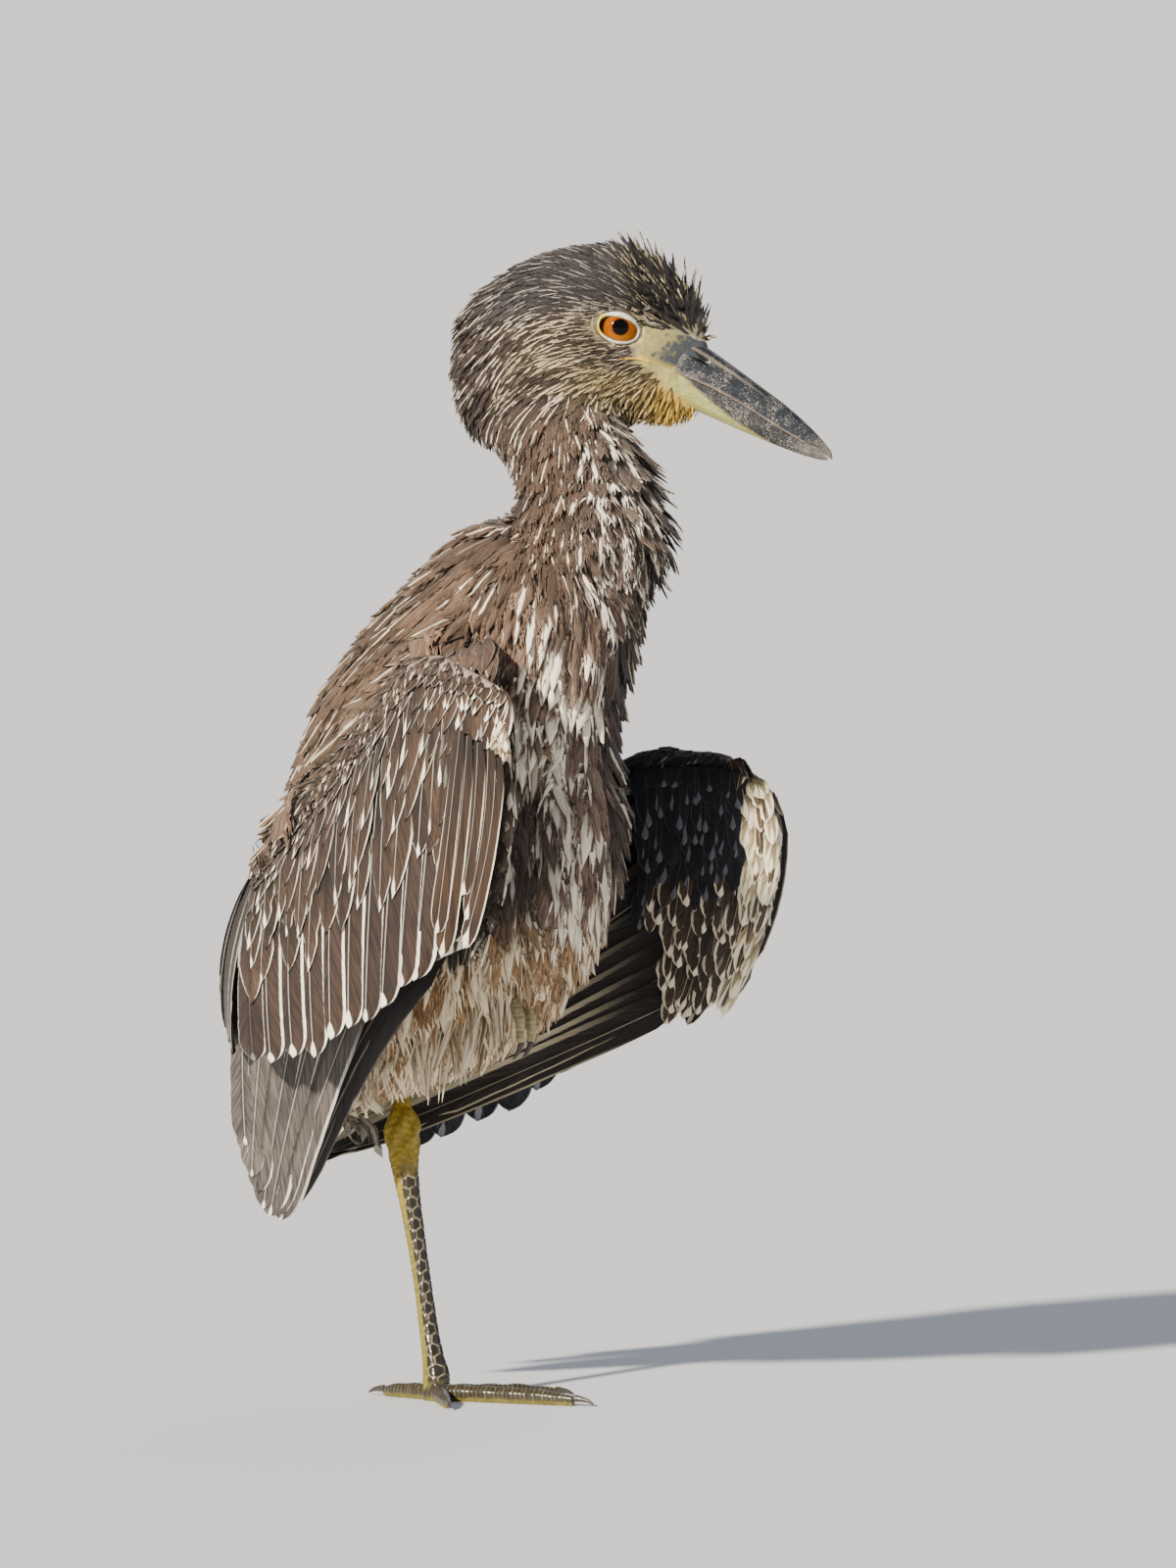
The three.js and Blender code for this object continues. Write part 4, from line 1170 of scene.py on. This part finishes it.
def lay_vane(book, place, at, reach, width, height, up, lead, look, rows=14, columns=6,
             shape=(0.3, 0.25, 0.82), shingle=0.55, thick=0.5, lean=0.0, notches=3):
    """One feather in a sheet: at is its place along the sheet at root and tip, reach where it begins
    and ends from root to tip, and height how far above the sheet it lies, in millimetres."""
    draw = book["draw"]
    down = 1 - (1 - np.linspace(0, 1, rows + 1)) ** 1.6
    across = np.linspace(-1, 1, columns + 1)
    s = at[0] + (at[1] - at[0]) * down
    t = reach[0] + (reach[1] - reach[0]) * down
    middle = place(s, t)
    along = unit(place(s, t + 0.01) - place(s, t - 0.01))
    sideways = place(np.clip(s + 0.01, 0, 1), t) - place(np.clip(s - 0.01, 0, 1), t)
    sideways = unit(sideways - along * (sideways * along).sum(1)[:, None]) * lead
    normal = unit(np.cross(sideways, along))
    if (normal[len(normal) // 3] @ up) < 0:
        normal = -normal
    outline = quill(down, *shape) * width / 2
    offset = across[None, :] * outline[:, None]
    ragged = 1 - 0.05 * draw.random((rows + 1, 2))
    for _ in range(draw.integers(0, notches)):
        ragged[draw.integers(rows // 3, rows), draw.integers(0, 2)] = draw.uniform(0.62, 0.85)
    offset[:, 0] *= ragged[:, 0]
    offset[:, -1] *= ragged[:, 1]
    curl = lean * down ** 3 * width
    lift = (height[0] + (height[1] - height[0]) * down)[:, None] + shingle * across[None, :]
    lift = lift + 0.05 * width * (1 - across[None, :] ** 2) * step(down, 0.0, 0.3)[:, None]
    lift = lift + draw.uniform(-0.12, 0.12) + draw.uniform(-0.25, 0.25) * down[:, None] ** 2
    body_of_vane = thick * (1 - across[None, :] ** 2) * (1 - 0.75 * down[:, None]) + 0.12
    shaft = 0.35 * (np.abs(across) < 0.01)[None, :] * (1 - 0.8 * down[:, None])
    tip_bow = -0.05 * width * across[None, :] ** 2 * step(down, 0.85, 1.0)[:, None]
    centre = middle[:, None, :] + sideways[:, None, :] * (offset + curl[:, None])[:, :, None]
    centre = centre + along[:, None, :] * tip_bow[:, :, None]
    chance = draw.random()
    count = (rows + 1) * (columns + 1)
    vane = np.stack([*np.meshgrid(across, down), np.zeros((rows + 1, columns + 1))], -1).reshape(-1, 3)
    for face, look_key in ((1, "above"), (-1, "below")):
        rise = lift + face * body_of_vane / 2 + face * shaft
        first = sum(len(block) for block in book["points"])
        book["points"].append((centre + normal[:, None, :] * rise[:, :, None]).reshape(-1, 3))
        book["vane"].append(vane)
        for name in ("ground", "mark", "spot", "rim"):
            value = look[look_key][name]
            value = paint(value)[:3] if isinstance(value, str) else value
            book[name].append(np.tile(value, (count, 1)))
        book["chance"].append(np.full((count, 1), chance))
        quads = first + np.array(grid(rows, columns + 1))
        if (np.cross(sideways[0], along[0]) @ normal[0] > 0) != (face > 0):
            quads = quads[:, ::-1]
        book["faces"].append(quads)
        book["corners"].append((quads - first, vane, book["cells"]))
        book["cells"] += 1


def bind(book, name, material, slot, *nodes):
    """Turns a book of vanes into one piece that stands for some of the solids."""
    mesh = bpy.data.meshes.new(name)
    mesh.from_pydata(np.vstack(book["points"]) * MM, [], np.vstack(book["faces"]).tolist())
    for key, kind in (("vane", "FLOAT_VECTOR"), ("ground", "FLOAT_COLOR"), ("mark", "FLOAT_COLOR"),
                      ("spot", "FLOAT_VECTOR"), ("rim", "FLOAT_VECTOR"), ("chance", "FLOAT")):
        store(mesh, key, kind, np.vstack(book[key]))
    wide = math.ceil(math.sqrt(book["cells"] * 3))
    high = math.ceil(book["cells"] / wide)
    places = []
    for quads, vane, cell in book["corners"]:
        uv = vane[quads.ravel(), :2] * (0.46, 0.92) + (0.5, 0.04)
        places.append((uv + (cell % wide, cell // wide)) / (wide, high))
    layer = mesh.uv_layers.new(name="OFBake")
    layer.data.foreach_set("uv", np.vstack(places).astype(np.float32).ravel())
    mesh.shade_smooth()
    settle(show(name, mesh, material), slot, *nodes)


def look(above, below):
    """Ground, mark, spot and rim of a feather's two sides."""
    keys = ("ground", "mark", "spot", "rim")
    return {"above": dict(zip(keys, above)), "below": dict(zip(keys, below))}


flight_plume = plume_finish("flight_plume", 60.0, 0.16, 0.6, 0.3, 0.06, 0.04, 1.0, 0.5)
covert_plume = plume_finish("covert_plume", 24.0, 0.35, 0.7, 0.36, 0.12, 0.06, 1.8, 0.6)

DARK_UNDER = ("#5a5b65", "#a3a4ab", (0.1, 0.3, 0.5), (0.09, 0.06, 0.8))
SECONDARY = look(("#554134", "#fff6e6", (0.065, 0.62, 0.95), (0.17, 0.03, 1.0)), DARK_UNDER)
GREATER = look(("#5a4433", "#fbf0dc", (0.24, 1.1, 0.55), (0.15, 0.1, 0.8)),
               ("#34343a", "#a8a6a2", (0.3, 0.4, 0.7), (0.08, 0.08, 0.4)))
LESSER = look(("#594434", "#fbf1de", (0.34, 1.1, 0.5), (0.15, 0.12, 0.62)),
              ("#2d2d31", "#9b9892", (0.45, 0.5, 0.7), (0.08, 0.08, 0.3)))
WRIST = look(("#6c4f3a", "#fff7e8", (0.45, 1.25, 0.8), (0.2, 0.14, 0.85)),
             ("#66574a", "#e6d9bf", (0.6, 0.6, 0.85), (0.2, 0.2, 0.6)))
LIT_UNDER = ("#544c47", "#f0e0bc", (0.08, 0.4, 0.5), (0.12, 0.3, 0.9))
SILVER = look(("#978a80", "#fff8ec", (0.05, 0.3, 0.6), (0.2, 0.03, 1.0)), DARK_UNDER)
# The outer primaries: dark brown above, painted darker as the shade they lie in, and below the lit under
# side, painted light
PRIMARY_SHADE_AND_LIGHT = look(("#332a25", "#9d9184", (0.05, 0.3, 0.4), (0.08, 0.03, 0.6)), LIT_UNDER)
HAND_COVERT = look(("#62462f", "#fff0d8", (0.1, 0.9, 0.9), (0.13, 0.1, 1.0)),
                   ("#4a413b", "#d8ccb6", (0.1, 0.5, 0.8), (0.12, 0.12, 0.8)))
TERTIAL = look(("#382d26", "#cdb998", (0.08, 0.4, 0.6), (0.12, 0.04, 0.9)), DARK_UNDER)
MARGINAL = look(("#5f4735", "#fbf2e0", (0.4, 0.7, 0.4), (0.2, 0.15, 0.4)), DARK_UNDER)
RECTRIX = look(("#6e6663", "#c7bfb4", (0.06, 0.4, 0.6), (0.08, 0.06, 0.8)), DARK_UNDER)
POINTED = (0.5, 0.25, 0.35, 1.5, 0.85)

# Rows of coverts over the secondaries, on the upper and under side: count, how far down the sheet
# the row ends, width, height above the sheet at the root, and look
UPPER_ROWS = [(14, 0.65, 15, 1.2, GREATER), (16, 0.5, 13.5, 1.7, GREATER), (18, 0.385, 12, 2.2, LESSER),
              (20, 0.285, 10.5, 2.6, LESSER), (23, 0.2, 9, 3.0, LESSER), (27, 0.13, 7.5, 3.4, LESSER),
              (31, 0.07, 6, 3.8, LESSER)]
UNDER_ROWS = [(13, 0.5, 14, -1.3, GREATER), (16, 0.36, 12, -2.0, LESSER), (19, 0.24, 10, -2.7, LESSER),
              (22, 0.14, 8, -3.3, LESSER)]
# The under side of the hand, from the leading edge inwards: cream with brown drops, then mottled
# brown and white towards the wing's tip, and dusky with pale tips towards the wrist, painted darker still as
# the shade that falls there
CREAM_UNDER = ("#f0d6a0", "#fff2d2", (0.7, 0.9, 1.0), (0.4, 0.4, 0.9))
DROP_UNDER = ("#7d6243", "#fff0cc", (0.2, 0.9, 1.0), (0.55, 0.55, 1.2))
MOTTLED_UNDER = ("#5f4c3c", "#efe0c2", (0.35, 0.9, 0.6), (0.26, 0.2, 0.9))
DUSKY_SHADED_UNDER = ("#1f2027", "#5d5c64", (0.4, 0.8, 0.65), (0.12, 0.12, 0.4))
PALM = (
    [[91, 101.5, 242], [79, 95.5, 246], [63, 92.5, 247], [45, 85.5, 245]],
    [[102, 111.5, 203], [86.5, 97, 197], [70.5, 86, 191], [55.5, 81, 189]],
    [[77, 95.5, 151], [72, 88, 151], [60, 81, 147], [40, 73, 136]],
)

SHOULDER_PLUME = look(("#8f6a50", "#fbeed6", (0.9, 0.13, 0.4), (0.1, 0.1, 0.2)),
                      ("#5a4a3d", "#cfc2ad", (0.4, 0.3, 0.4), (0.1, 0.1, 0.2)))
# The soft plumes of the shoulder, which hang over the upper edge of the wing
FRINGE = {
    "root": [[52, 62, 312], [44, 62, 314], [34, 62, 311], [22, 62, 300]],
    "tip": [[83, 101, 273], [64, 103, 275], [42, 98, 273], [20, 89, 257]],
}


def mirrored(rows, side, shift=(0, 0, 0)):
    """Rows of a wing's line, put on one side of the body and moved if need be."""
    return np.array([[x + shift[0], side * y + shift[1], z + shift[2]] for x, y, z in rows])


def sheet_of(lines, side, shift=(0, 0, 0)):
    return hanging(*(mirrored(rows, side, shift) for rows in lines))


FLIGHT = {"rows": 22, "columns": 8}
MARGINALS = 40
PALM_ROWS, PALM_COLUMNS = 14, 13

for index, (name, wing) in enumerate(WINGS.items()):
    draw = np.random.default_rng(100 + index)
    side = wing["side"]
    up = np.array([0.25, side, 0.1])
    root = mirrored(wing["forearm"], side)
    tips = mirrored(wing["secondary_tips"], side)
    stations = np.linspace(0, 1, len(WING_BOW))
    belly_line = (on_line(root, stations) + on_line(tips, stations)) / 2 + mirrored(WING_BOW, side)
    wing_sheet = hanging(root, belly_line, tips)

    remiges = new_book(draw)
    for k in range(13):
        s = 0.03 + 0.95 * k / 12
        lay_vane(remiges, wing_sheet, (s, s), (0.03, 1.0 + draw.uniform(-0.02, 0.015)), 16.5, (0.3, 0),
                 up, -1, SECONDARY, shape=(0.35, 0.2, 0.88, 2.1, 0.52), lean=-0.06, notches=1, **FLIGHT)
    primary_sheet = sheet_of(wing["primary"], side)
    # The outer primaries, painted dark above as shade
    for k in range(8):
        s = k / 7
        lay_vane(remiges, primary_sheet, (s, s), (0.0, 1.0 + draw.uniform(-0.01, 0.01)), 14,
                 (-0.8, -2.4 * s - 0.4), up, 1, PRIMARY_SHADE_AND_LIGHT, rows=24, columns=8, shape=(0.35, 0.15, 0.86))
    silver_roots, silver_tips = wing["silver"]
    silver_middle = on_line(silver_roots, np.linspace(0, 1, len(silver_tips))) + silver_tips
    silver_sheet = sheet_of((silver_roots, silver_middle / 2 + [0, 5, 0], silver_tips), side)
    for k in range(8):
        s = k / 7
        lay_vane(remiges, silver_sheet, (s, s), (0.0, 1.0 + draw.uniform(-0.02, 0.02)), 13, (0.2, 0.2),
                 up, 1, SILVER, shape=(0.35, 0.15, 0.86), **FLIGHT)
    bind(remiges, f"wing_{name}_flight_feathers", flight_plume, "flight_feather",
         f"wing_{name}_secondaries", f"wing_{name}_primaries")

    coverts = new_book(draw)
    for rows, away in ((UPPER_ROWS, 1), (UNDER_ROWS, -1)):
        for count, end, width, height, kind in rows:
            kind = kind if away > 0 else {"above": kind["below"], "below": kind["above"]}
            for k in range(count):
                s = np.clip((k + 0.5 + draw.uniform(-0.3, 0.3)) / count, 0.01, 0.99)
                wrist = s < 0.2 + draw.uniform(-0.06, 0.06) and end < 0.45
                start = max(0.0, end - 0.3)
                stop = end * (1 + draw.uniform(-0.09, 0.09))
                low_end = np.clip(s + draw.uniform(-0.02, 0.02), 0.005, 0.995)
                lay_vane(coverts, wing_sheet, (s, low_end), (start, stop),
                         width * draw.uniform(0.85, 1.1),
                         (min(abs(height), 0.8 + 12 * start), abs(height) + 0.35), up * away, -1 * away,
                         WRIST if wrist else kind, rows=8, columns=4,
                         shape=POINTED if away > 0 else (0.5, 0.3, 0.55), shingle=0.35, thick=0.3,
                         lean=-0.05)
    for end, height in ((0.085, 2.4), (0.055, 2.7)):
        for k in range(MARGINALS):
            s = min(max((k + draw.uniform(0, 1)) / (MARGINALS + 2), 0.01), 0.99)
            lay_vane(coverts, wing_sheet, (s, s + draw.uniform(-0.01, 0.01)), (0, end), 4.5,
                     (0.5, wing["edge_rise"] * (height + draw.uniform(0, 0.8))), up, -1, MARGINAL,
                     rows=5, columns=2, shape=POINTED, shingle=0.2, thick=0.2)

    palm_sheet = sheet_of(PALM, side, wing["palm_shift"])
    for row in range(PALM_ROWS):
        for k in range(PALM_COLUMNS):
            s = (k + draw.uniform(0, 1)) / PALM_COLUMNS
            end = 0.1 + 0.92 * row / (PALM_ROWS - 1) + draw.uniform(-0.035, 0.035)
            if s > 0.75 and end > 0.62:
                continue
            near_edge = s < 0.26 + draw.uniform(-0.05, 0.05)
            # Dusky feathers towards the wrist carry painted shade
            tone = DUSKY_SHADED_UNDER if end < 0.55 + draw.uniform(-0.08, 0.08) else MOTTLED_UNDER
            tone = (CREAM_UNDER if draw.random() < 0.55 else DROP_UNDER) if near_edge else tone
            drift = draw.uniform(-0.01, 0.06)
            rise = 0.6 + 1.5 * (1 - s)
            lay_vane(coverts, palm_sheet, (s, min(s + drift, 1)), (max(0, end - 0.17), min(end, 1.02)),
                     (6.5 if near_edge else 9) * draw.uniform(0.8, 1.2), (rise, 1.6 + 1.5 * (1 - s)),
                     -up, 1, look(tone, tone), rows=6, columns=4, shape=(0.5, 0.3, 0.5, 1.8, 0.7),
                     shingle=0.25, thick=0.3)

    if wing["fringed"]:
        shoulder_line = [np.array(hide_surface.find_nearest(Vector(row) * MM)[0]) / MM
                         for row in mirrored(FRINGE["root"], side)]
        fringe_tips = mirrored(FRINGE["tip"], side)
        fringe_middle = (shoulder_line + fringe_tips) / 2 + [0, side * 3, 2]
        fringe_sheet = hanging(shoulder_line, fringe_middle, fringe_tips)
        for row, (count, end) in enumerate(((18, 1.0), (18, 0.86), (18, 0.72), (16, 0.58))):
            for k in range(count):
                s = 0.05 + 0.95 * (k + draw.uniform(0, 1)) / count
                lay_vane(coverts, fringe_sheet, (s, min(max(s + draw.uniform(-0.1, 0.06), 0), 1)),
                         (max(end - 0.62, 0), end + draw.uniform(-0.08, 0.08)),
                         8 * draw.uniform(0.8, 1.2),
                         (0.4 * row - 5, 0.8 + 0.5 * row + draw.uniform(0, 1.2)), up, -1,
                         SHOULDER_PLUME, rows=10, columns=4, shape=(0.1, 0.5, 0.4, 1.6, 0.8),
                         shingle=0.2, thick=0.25, notches=7)

    hand_sheet = sheet_of(wing["hand"], side)
    for k in range(5):
        s = k / 4
        height = 0.5 + 0.15 * k
        lay_vane(coverts, hand_sheet, (s, s), (0, 1 - 0.12 * (k % 3)), 10.0, (height, height), up, -1,
                 HAND_COVERT, columns=4, shape=(0.5, 0.2, 0.85), shingle=0.35)
    bind(coverts, f"wing_{name}_coverts", covert_plume, "wing_feather", f"wing_{name}_alula")

    tertials = new_book(draw)
    tertial_sheet = sheet_of(TERTIALS, side, wing["tertial_shift"])
    for k in range(5):
        s = k / 4
        lay_vane(tertials, tertial_sheet, (s, s), (0, 1 - 0.06 * k), 19, (1 + 0.6 * k, 0.6 + 0.6 * k), up,
                 -1, TERTIAL, rows=18, columns=8, shape=(0.4, 0.25, 0.8))
    bind(tertials, f"wing_{name}_tertials_row", flight_plume, "wing_feather", f"wing_{name}_tertials")

tail_book = new_book(np.random.default_rng(120))
for k in range(10):
    s = k / 9
    height = -3 * abs(s - 0.5)
    lay_vane(tail_book, hanging(*TAIL), (s, s), (0, 1), 15, (height, height), np.array([-1, 0, 0.2]),
             1 if s > 0.5 else -1, RECTRIX, rows=16, columns=8, shape=(0.4, 0.2, 0.88))
bind(tail_book, "tail_feathers", flight_plume, "flight_feather", "tail")

# ------------------------------------------------------------
# The long wisps of the belly: narrow limp feathers that hang below the rest, in front of the thigh
WISPS = (
    [[44, 22, 178], [30, 26, 172], [14, 27, 164], [-4, 25, 158], [-16, 20, 150]],
    [[46, 29, 156], [34, 33, 150], [16, 34, 144], [-4, 31, 145], [-18, 25, 141]],
    [[42, 25, 138], [31, 29, 128], [15, 30, 118], [-4, 27, 126], [-18, 21, 132]],
)
WISP = look(("#957d58", "#fbe9c8", (1.0, 0.7, 0.7), (0.4, 0.4, 0.7)),
            ("#6b5d4a", "#cfc3ab", (1.0, 0.7, 0.7), (0.4, 0.4, 0.7)))
draw = np.random.default_rng(140)
wisp_book = new_book(draw)
wisp_sheet = sheet_of(WISPS, -1)
for _ in range(90):
    s = draw.uniform(0, 1)
    end = draw.uniform(0.55, 1.02)
    lay_vane(wisp_book, wisp_sheet, (s, np.clip(s + draw.uniform(-0.12, 0.12), 0, 1)), (end - 0.55, end),
             draw.uniform(1.4, 4.2), (0.3, draw.uniform(0.5, 4)), np.array([0.2, -1, 0]), 1, WISP, rows=9,
             columns=2, shape=(0.4, 0.4, 0.3, 1.3, 0.9), shingle=0.1, thick=0.15,
             lean=draw.uniform(-0.8, 0.8))
bind(wisp_book, "belly_wisps", body_plume, "body_feather")

# ------------------------------------------------------------
# The eyes: wet globes with a bright orange iris, a round pupil set a little forward and up, and a
# dark rim where the iris ends under the lids.
PUPIL_RADIUS = 3.2
PUPIL_SHIFT = (0.8, 0.4)
IRIS_RADIUS = 8.5

iris_finish, tree, shader = finish_of("iris")
forward, upward, _ = split(attribute(tree, "eye", "Vector"))
forward, upward = forward - PUPIL_SHIFT[0], upward - PUPIL_SHIFT[1]
gap = maths("SQRT", abs(forward) ** 2.0 + abs(upward) ** 2.0)
fibres = noise(vector_of(maths("ARCTAN2", upward, forward) * 9.0, gap * 0.5), 1.4, 4.0)
iris = blend_colour(ramp(fibres, 0.3, 0.7), paint("#743400"), paint("#8f4c00"))
iris = blend_colour(ramp(gap, 3.0, 4.2, 0.65, 0.0), iris, paint("#5a1a00"))
# The lower iris is painted brighter, as painted light where the light through the eye falls
iris = blend_colour(ramp(upward, -1.0, -4.5) * 0.45, iris, paint("#9a6200"))
iris = blend_colour(ramp(gap, IRIS_RADIUS - 1.0, IRIS_RADIUS - 0.1), iris, paint("#1c0a04"))
iris = blend_colour(ramp(gap, PUPIL_RADIUS - 0.15, PUPIL_RADIUS + 0.15), paint("#050404"), iris)
feed(shader, {"Base Color": iris, "Roughness": 0.4, "Specular IOR Level": 0.0, "Coat Weight": 0.25,
              "Coat Roughness": 0.09})

for eye in EYES:
    globe = bmesh.new()
    bmesh.ops.create_uvsphere(globe, u_segments=64, v_segments=40, radius=EYE_RADIUS)
    mesh = bpy.data.meshes.new(f"{eye}_globe")
    globe.to_mesh(mesh)
    globe.free()
    local = arrays_of(mesh)[0]
    store(mesh, "eye", "FLOAT_VECTOR", local[:, [0, 2, 1]])
    reshape(mesh, np.array(eye_middle[eye]) + local * MM @ head_axes)
    mesh.shade_smooth()
    settle(show(f"{eye}_globe", mesh, iris_finish), "eye", eye)

# ------------------------------------------------------------
# The bill: two stout mandibles of slate-coloured horn, straight above and slightly rounded below,
# with a nostril slit at the back of a long groove. The lower one is pale along its edge at the base.
BILL_ROOT = (12.3, 0, -13.6)
BILL_DROOP = math.radians(28.05)
# Distance from the root, height of the mouth line and of the outer edge, and half width
UPPER_BILL = [(-6, -0.8, 8, 4.6), (4, 0.6, 13.6, 7.0), (10, 1.2, 15.6, 8.0), (16, 1.7, 15.6, 7.9),
              (27, 2.4, 14.3, 7.2), (41, 2.1, 12.2, 6.2), (55, 1, 10, 4.9), (66, 0.5, 7.3, 3.7),
              (74, 0.1, 4.7, 2.6), (79, -0.2, 2.4, 1.5), (81, -0.4, 0.2, 0.4)]
LOWER_BILL = [(-6, -1.2, -5.4, 4.6), (4, 0.2, -8.0, 6.7), (12, 1.2, -9.0, 7.5), (22, 2, -8.7, 6.8),
              (34, 2.4, -7.8, 5.9), (46, 1.6, -6.9, 4.9), (58, 0.8, -5.8, 3.9), (68, 0.3, -4.5, 2.9),
              (75, -0.1, -3.1, 2), (79.5, -0.6, -1.6, 0.9)]
NOSTRIL = {"from": 11.5, "to": 21.0, "height": 0.66}
GROOVE_END = 52
# Where the pale edge of the lower mandible begins, as a share of its height, over this many
# millimetres from the root
PALE_EDGE = [[-0.3], [-0.15], [0.15], [0.42], [0.64], [0.78], [1.0], [1.3]]
PALE_EDGE_LENGTH = 72


def mandible(rows, upper):
    """Points, faces and colours of one mandible, closed along its mouth side."""
    steps, around = 110, 88
    table, colours = [], []
    for j in range(steps + 1):
        along, mouth, edge, width = on_line(rows, j / steps)[0]
        for k in range(around + 1):
            angle = math.pi * k / around
            rise = math.sin(angle) ** 0.85
            height = mouth + (edge - mouth) * rise
            out = width * math.copysign(abs(math.cos(angle)) ** 0.9, math.cos(angle))
            if upper:
                reach = step(along, 2, 10) * (1 - step(along, GROOVE_END - 22, GROOVE_END))
                over = rise - NOSTRIL["height"]
                groove = reach * math.exp(-(over / 0.10) ** 2)
                slit = (step(along, NOSTRIL["from"], NOSTRIL["from"] + 1.5)
                        * (1 - step(along, NOSTRIL["to"] - 1.5, NOSTRIL["to"]))
                        * math.exp(-(over / 0.08) ** 2))
                out *= 1 - 0.055 * groove - 0.2 * slit
                height -= 0.25 * groove + 0.5 * slit
                ridge = math.exp(-((over - 0.13) / 0.04) ** 2)
                # The nostril slit is painted near black, as painted shade in its opening
                tone = layered(
                    "#23272d", ("#0d0e10", step(rise, 0.62, 0.98)),
                    ("#62655f", (1 - step(along, 4, 15)) * (1 - 0.5 * rise)),
                    ("#a39583", 0.6 * reach * ridge), ("#2b2c2f", 0.7 * groove),
                    ("#a08c78", 0.75 * step(-rise, -0.09, -0.02)),
                    ("#7a7268", 0.7 * step(along, 68, 80)), ("#020202", min(slit * 3, 1)))
            else:
                line = on_line(PALE_EDGE, along / PALE_EDGE_LENGTH)[0, 0]
                tone = layered(
                    "#2b2b2c", ("#1a1b1e", step(rise, 0.3, 0.9)),
                    ("#a8a55c", step(rise, line, line + 0.18)), ("#7a7268", 0.7 * step(along, 62, 77)))
            table.append((along, out, height))
            colours.append(tone[0])
    turn = np.array([[math.cos(BILL_DROOP), 0, -math.sin(BILL_DROOP)], [0, 1, 0],
                     [math.sin(BILL_DROOP), 0, math.cos(BILL_DROOP)]])
    placed = from_head(np.array(table) @ turn + np.array(BILL_ROOT))
    wide = around + 1
    ends = [tuple(range(around, -1, -1)), tuple(range(steps * wide, (steps + 1) * wide))]
    return placed, grid(steps, wide, True) + ends, colours, np.array(table)


horn_finish, tree, shader = finish_of("bill_horn")
on_bill = attribute(tree, "bill", "Vector")
horn_colour = attribute(tree, "horn_colour")
along_bill, over_bill = (
    put(tree, "ShaderNodeVectorMath", {0: on_bill, 1: stretch}, operation="MULTIPLY")
    for stretch in ((0.05, 0.6, 0.6), (0.8, 2.0, 2.0)))
scratches = noise(along_bill, 2.2, 6.0, 0.7)
flecks = noise(over_bill, 1.5, 5.0, 0.75)
worn = ramp(noise(on_bill, 0.16, 3.0), 0.35, 0.65, -0.04, 0.04)
streaks = blend_colour(ramp(scratches, 0.35, 0.68), (0.6, 0.6, 0.62, 1), (1.15, 1.13, 1.1, 1))
# Flecks stay off the near-black painted shade of the nostril slit
not_slit = ramp(put(tree, "ShaderNodeSeparateColor", {0: horn_colour}, 1), 0.003, 0.006)
base = blend_colour(ramp(flecks + worn, 0.56, 0.61, 0.0, 0.6) * not_slit,
                    blend_colour(1.0, horn_colour, streaks, "MULTIPLY"), paint("#b9b3a8"))
feed(shader, {"Base Color": base, "Roughness": ramp(scratches, 0.3, 0.7, 0.3, 0.5),
              "Normal": bumps(scratches, 0.25, 0.15)})

for name, rows, upper in (("bill_upper", UPPER_BILL, True), ("bill_lower", LOWER_BILL, False)):
    placed, faces, colours, table = mandible(rows, upper)
    mesh = plain_mesh(f"{name}_horn", placed, flipped(faces, upper))
    store(mesh, "horn_colour", "FLOAT_COLOR", np.array(colours))
    store(mesh, "bill", "FLOAT_VECTOR", table)
    settle(show(f"{name}_horn", mesh, horn_finish), "bill_horn", name)

# ------------------------------------------------------------
# The claws: short curved hooks of dark horn, one set in the end of each toe
claw_finish, tree, shader = finish_of("claw_horn")
grain = noise(object_place(tree), 900.0, 3.0)
feed(shader, {"Base Color": blend_colour(grain, paint("#1b1816"), paint("#4e473e")),
              "Roughness": ramp(grain, 0.3, 0.7, 0.25, 0.45)})
for toe in TOES:
    claw = toe.replace("toe", "claw")
    piece = show(f"{claw}_horn", joined([claw], 0.0), claw_finish)
    rounded = piece.modifiers.new("rounded", "SUBSURF")
    rounded.levels = rounded.render_levels = 2
    piece.data.shade_smooth()
    settle(piece, "claw_horn", claw)
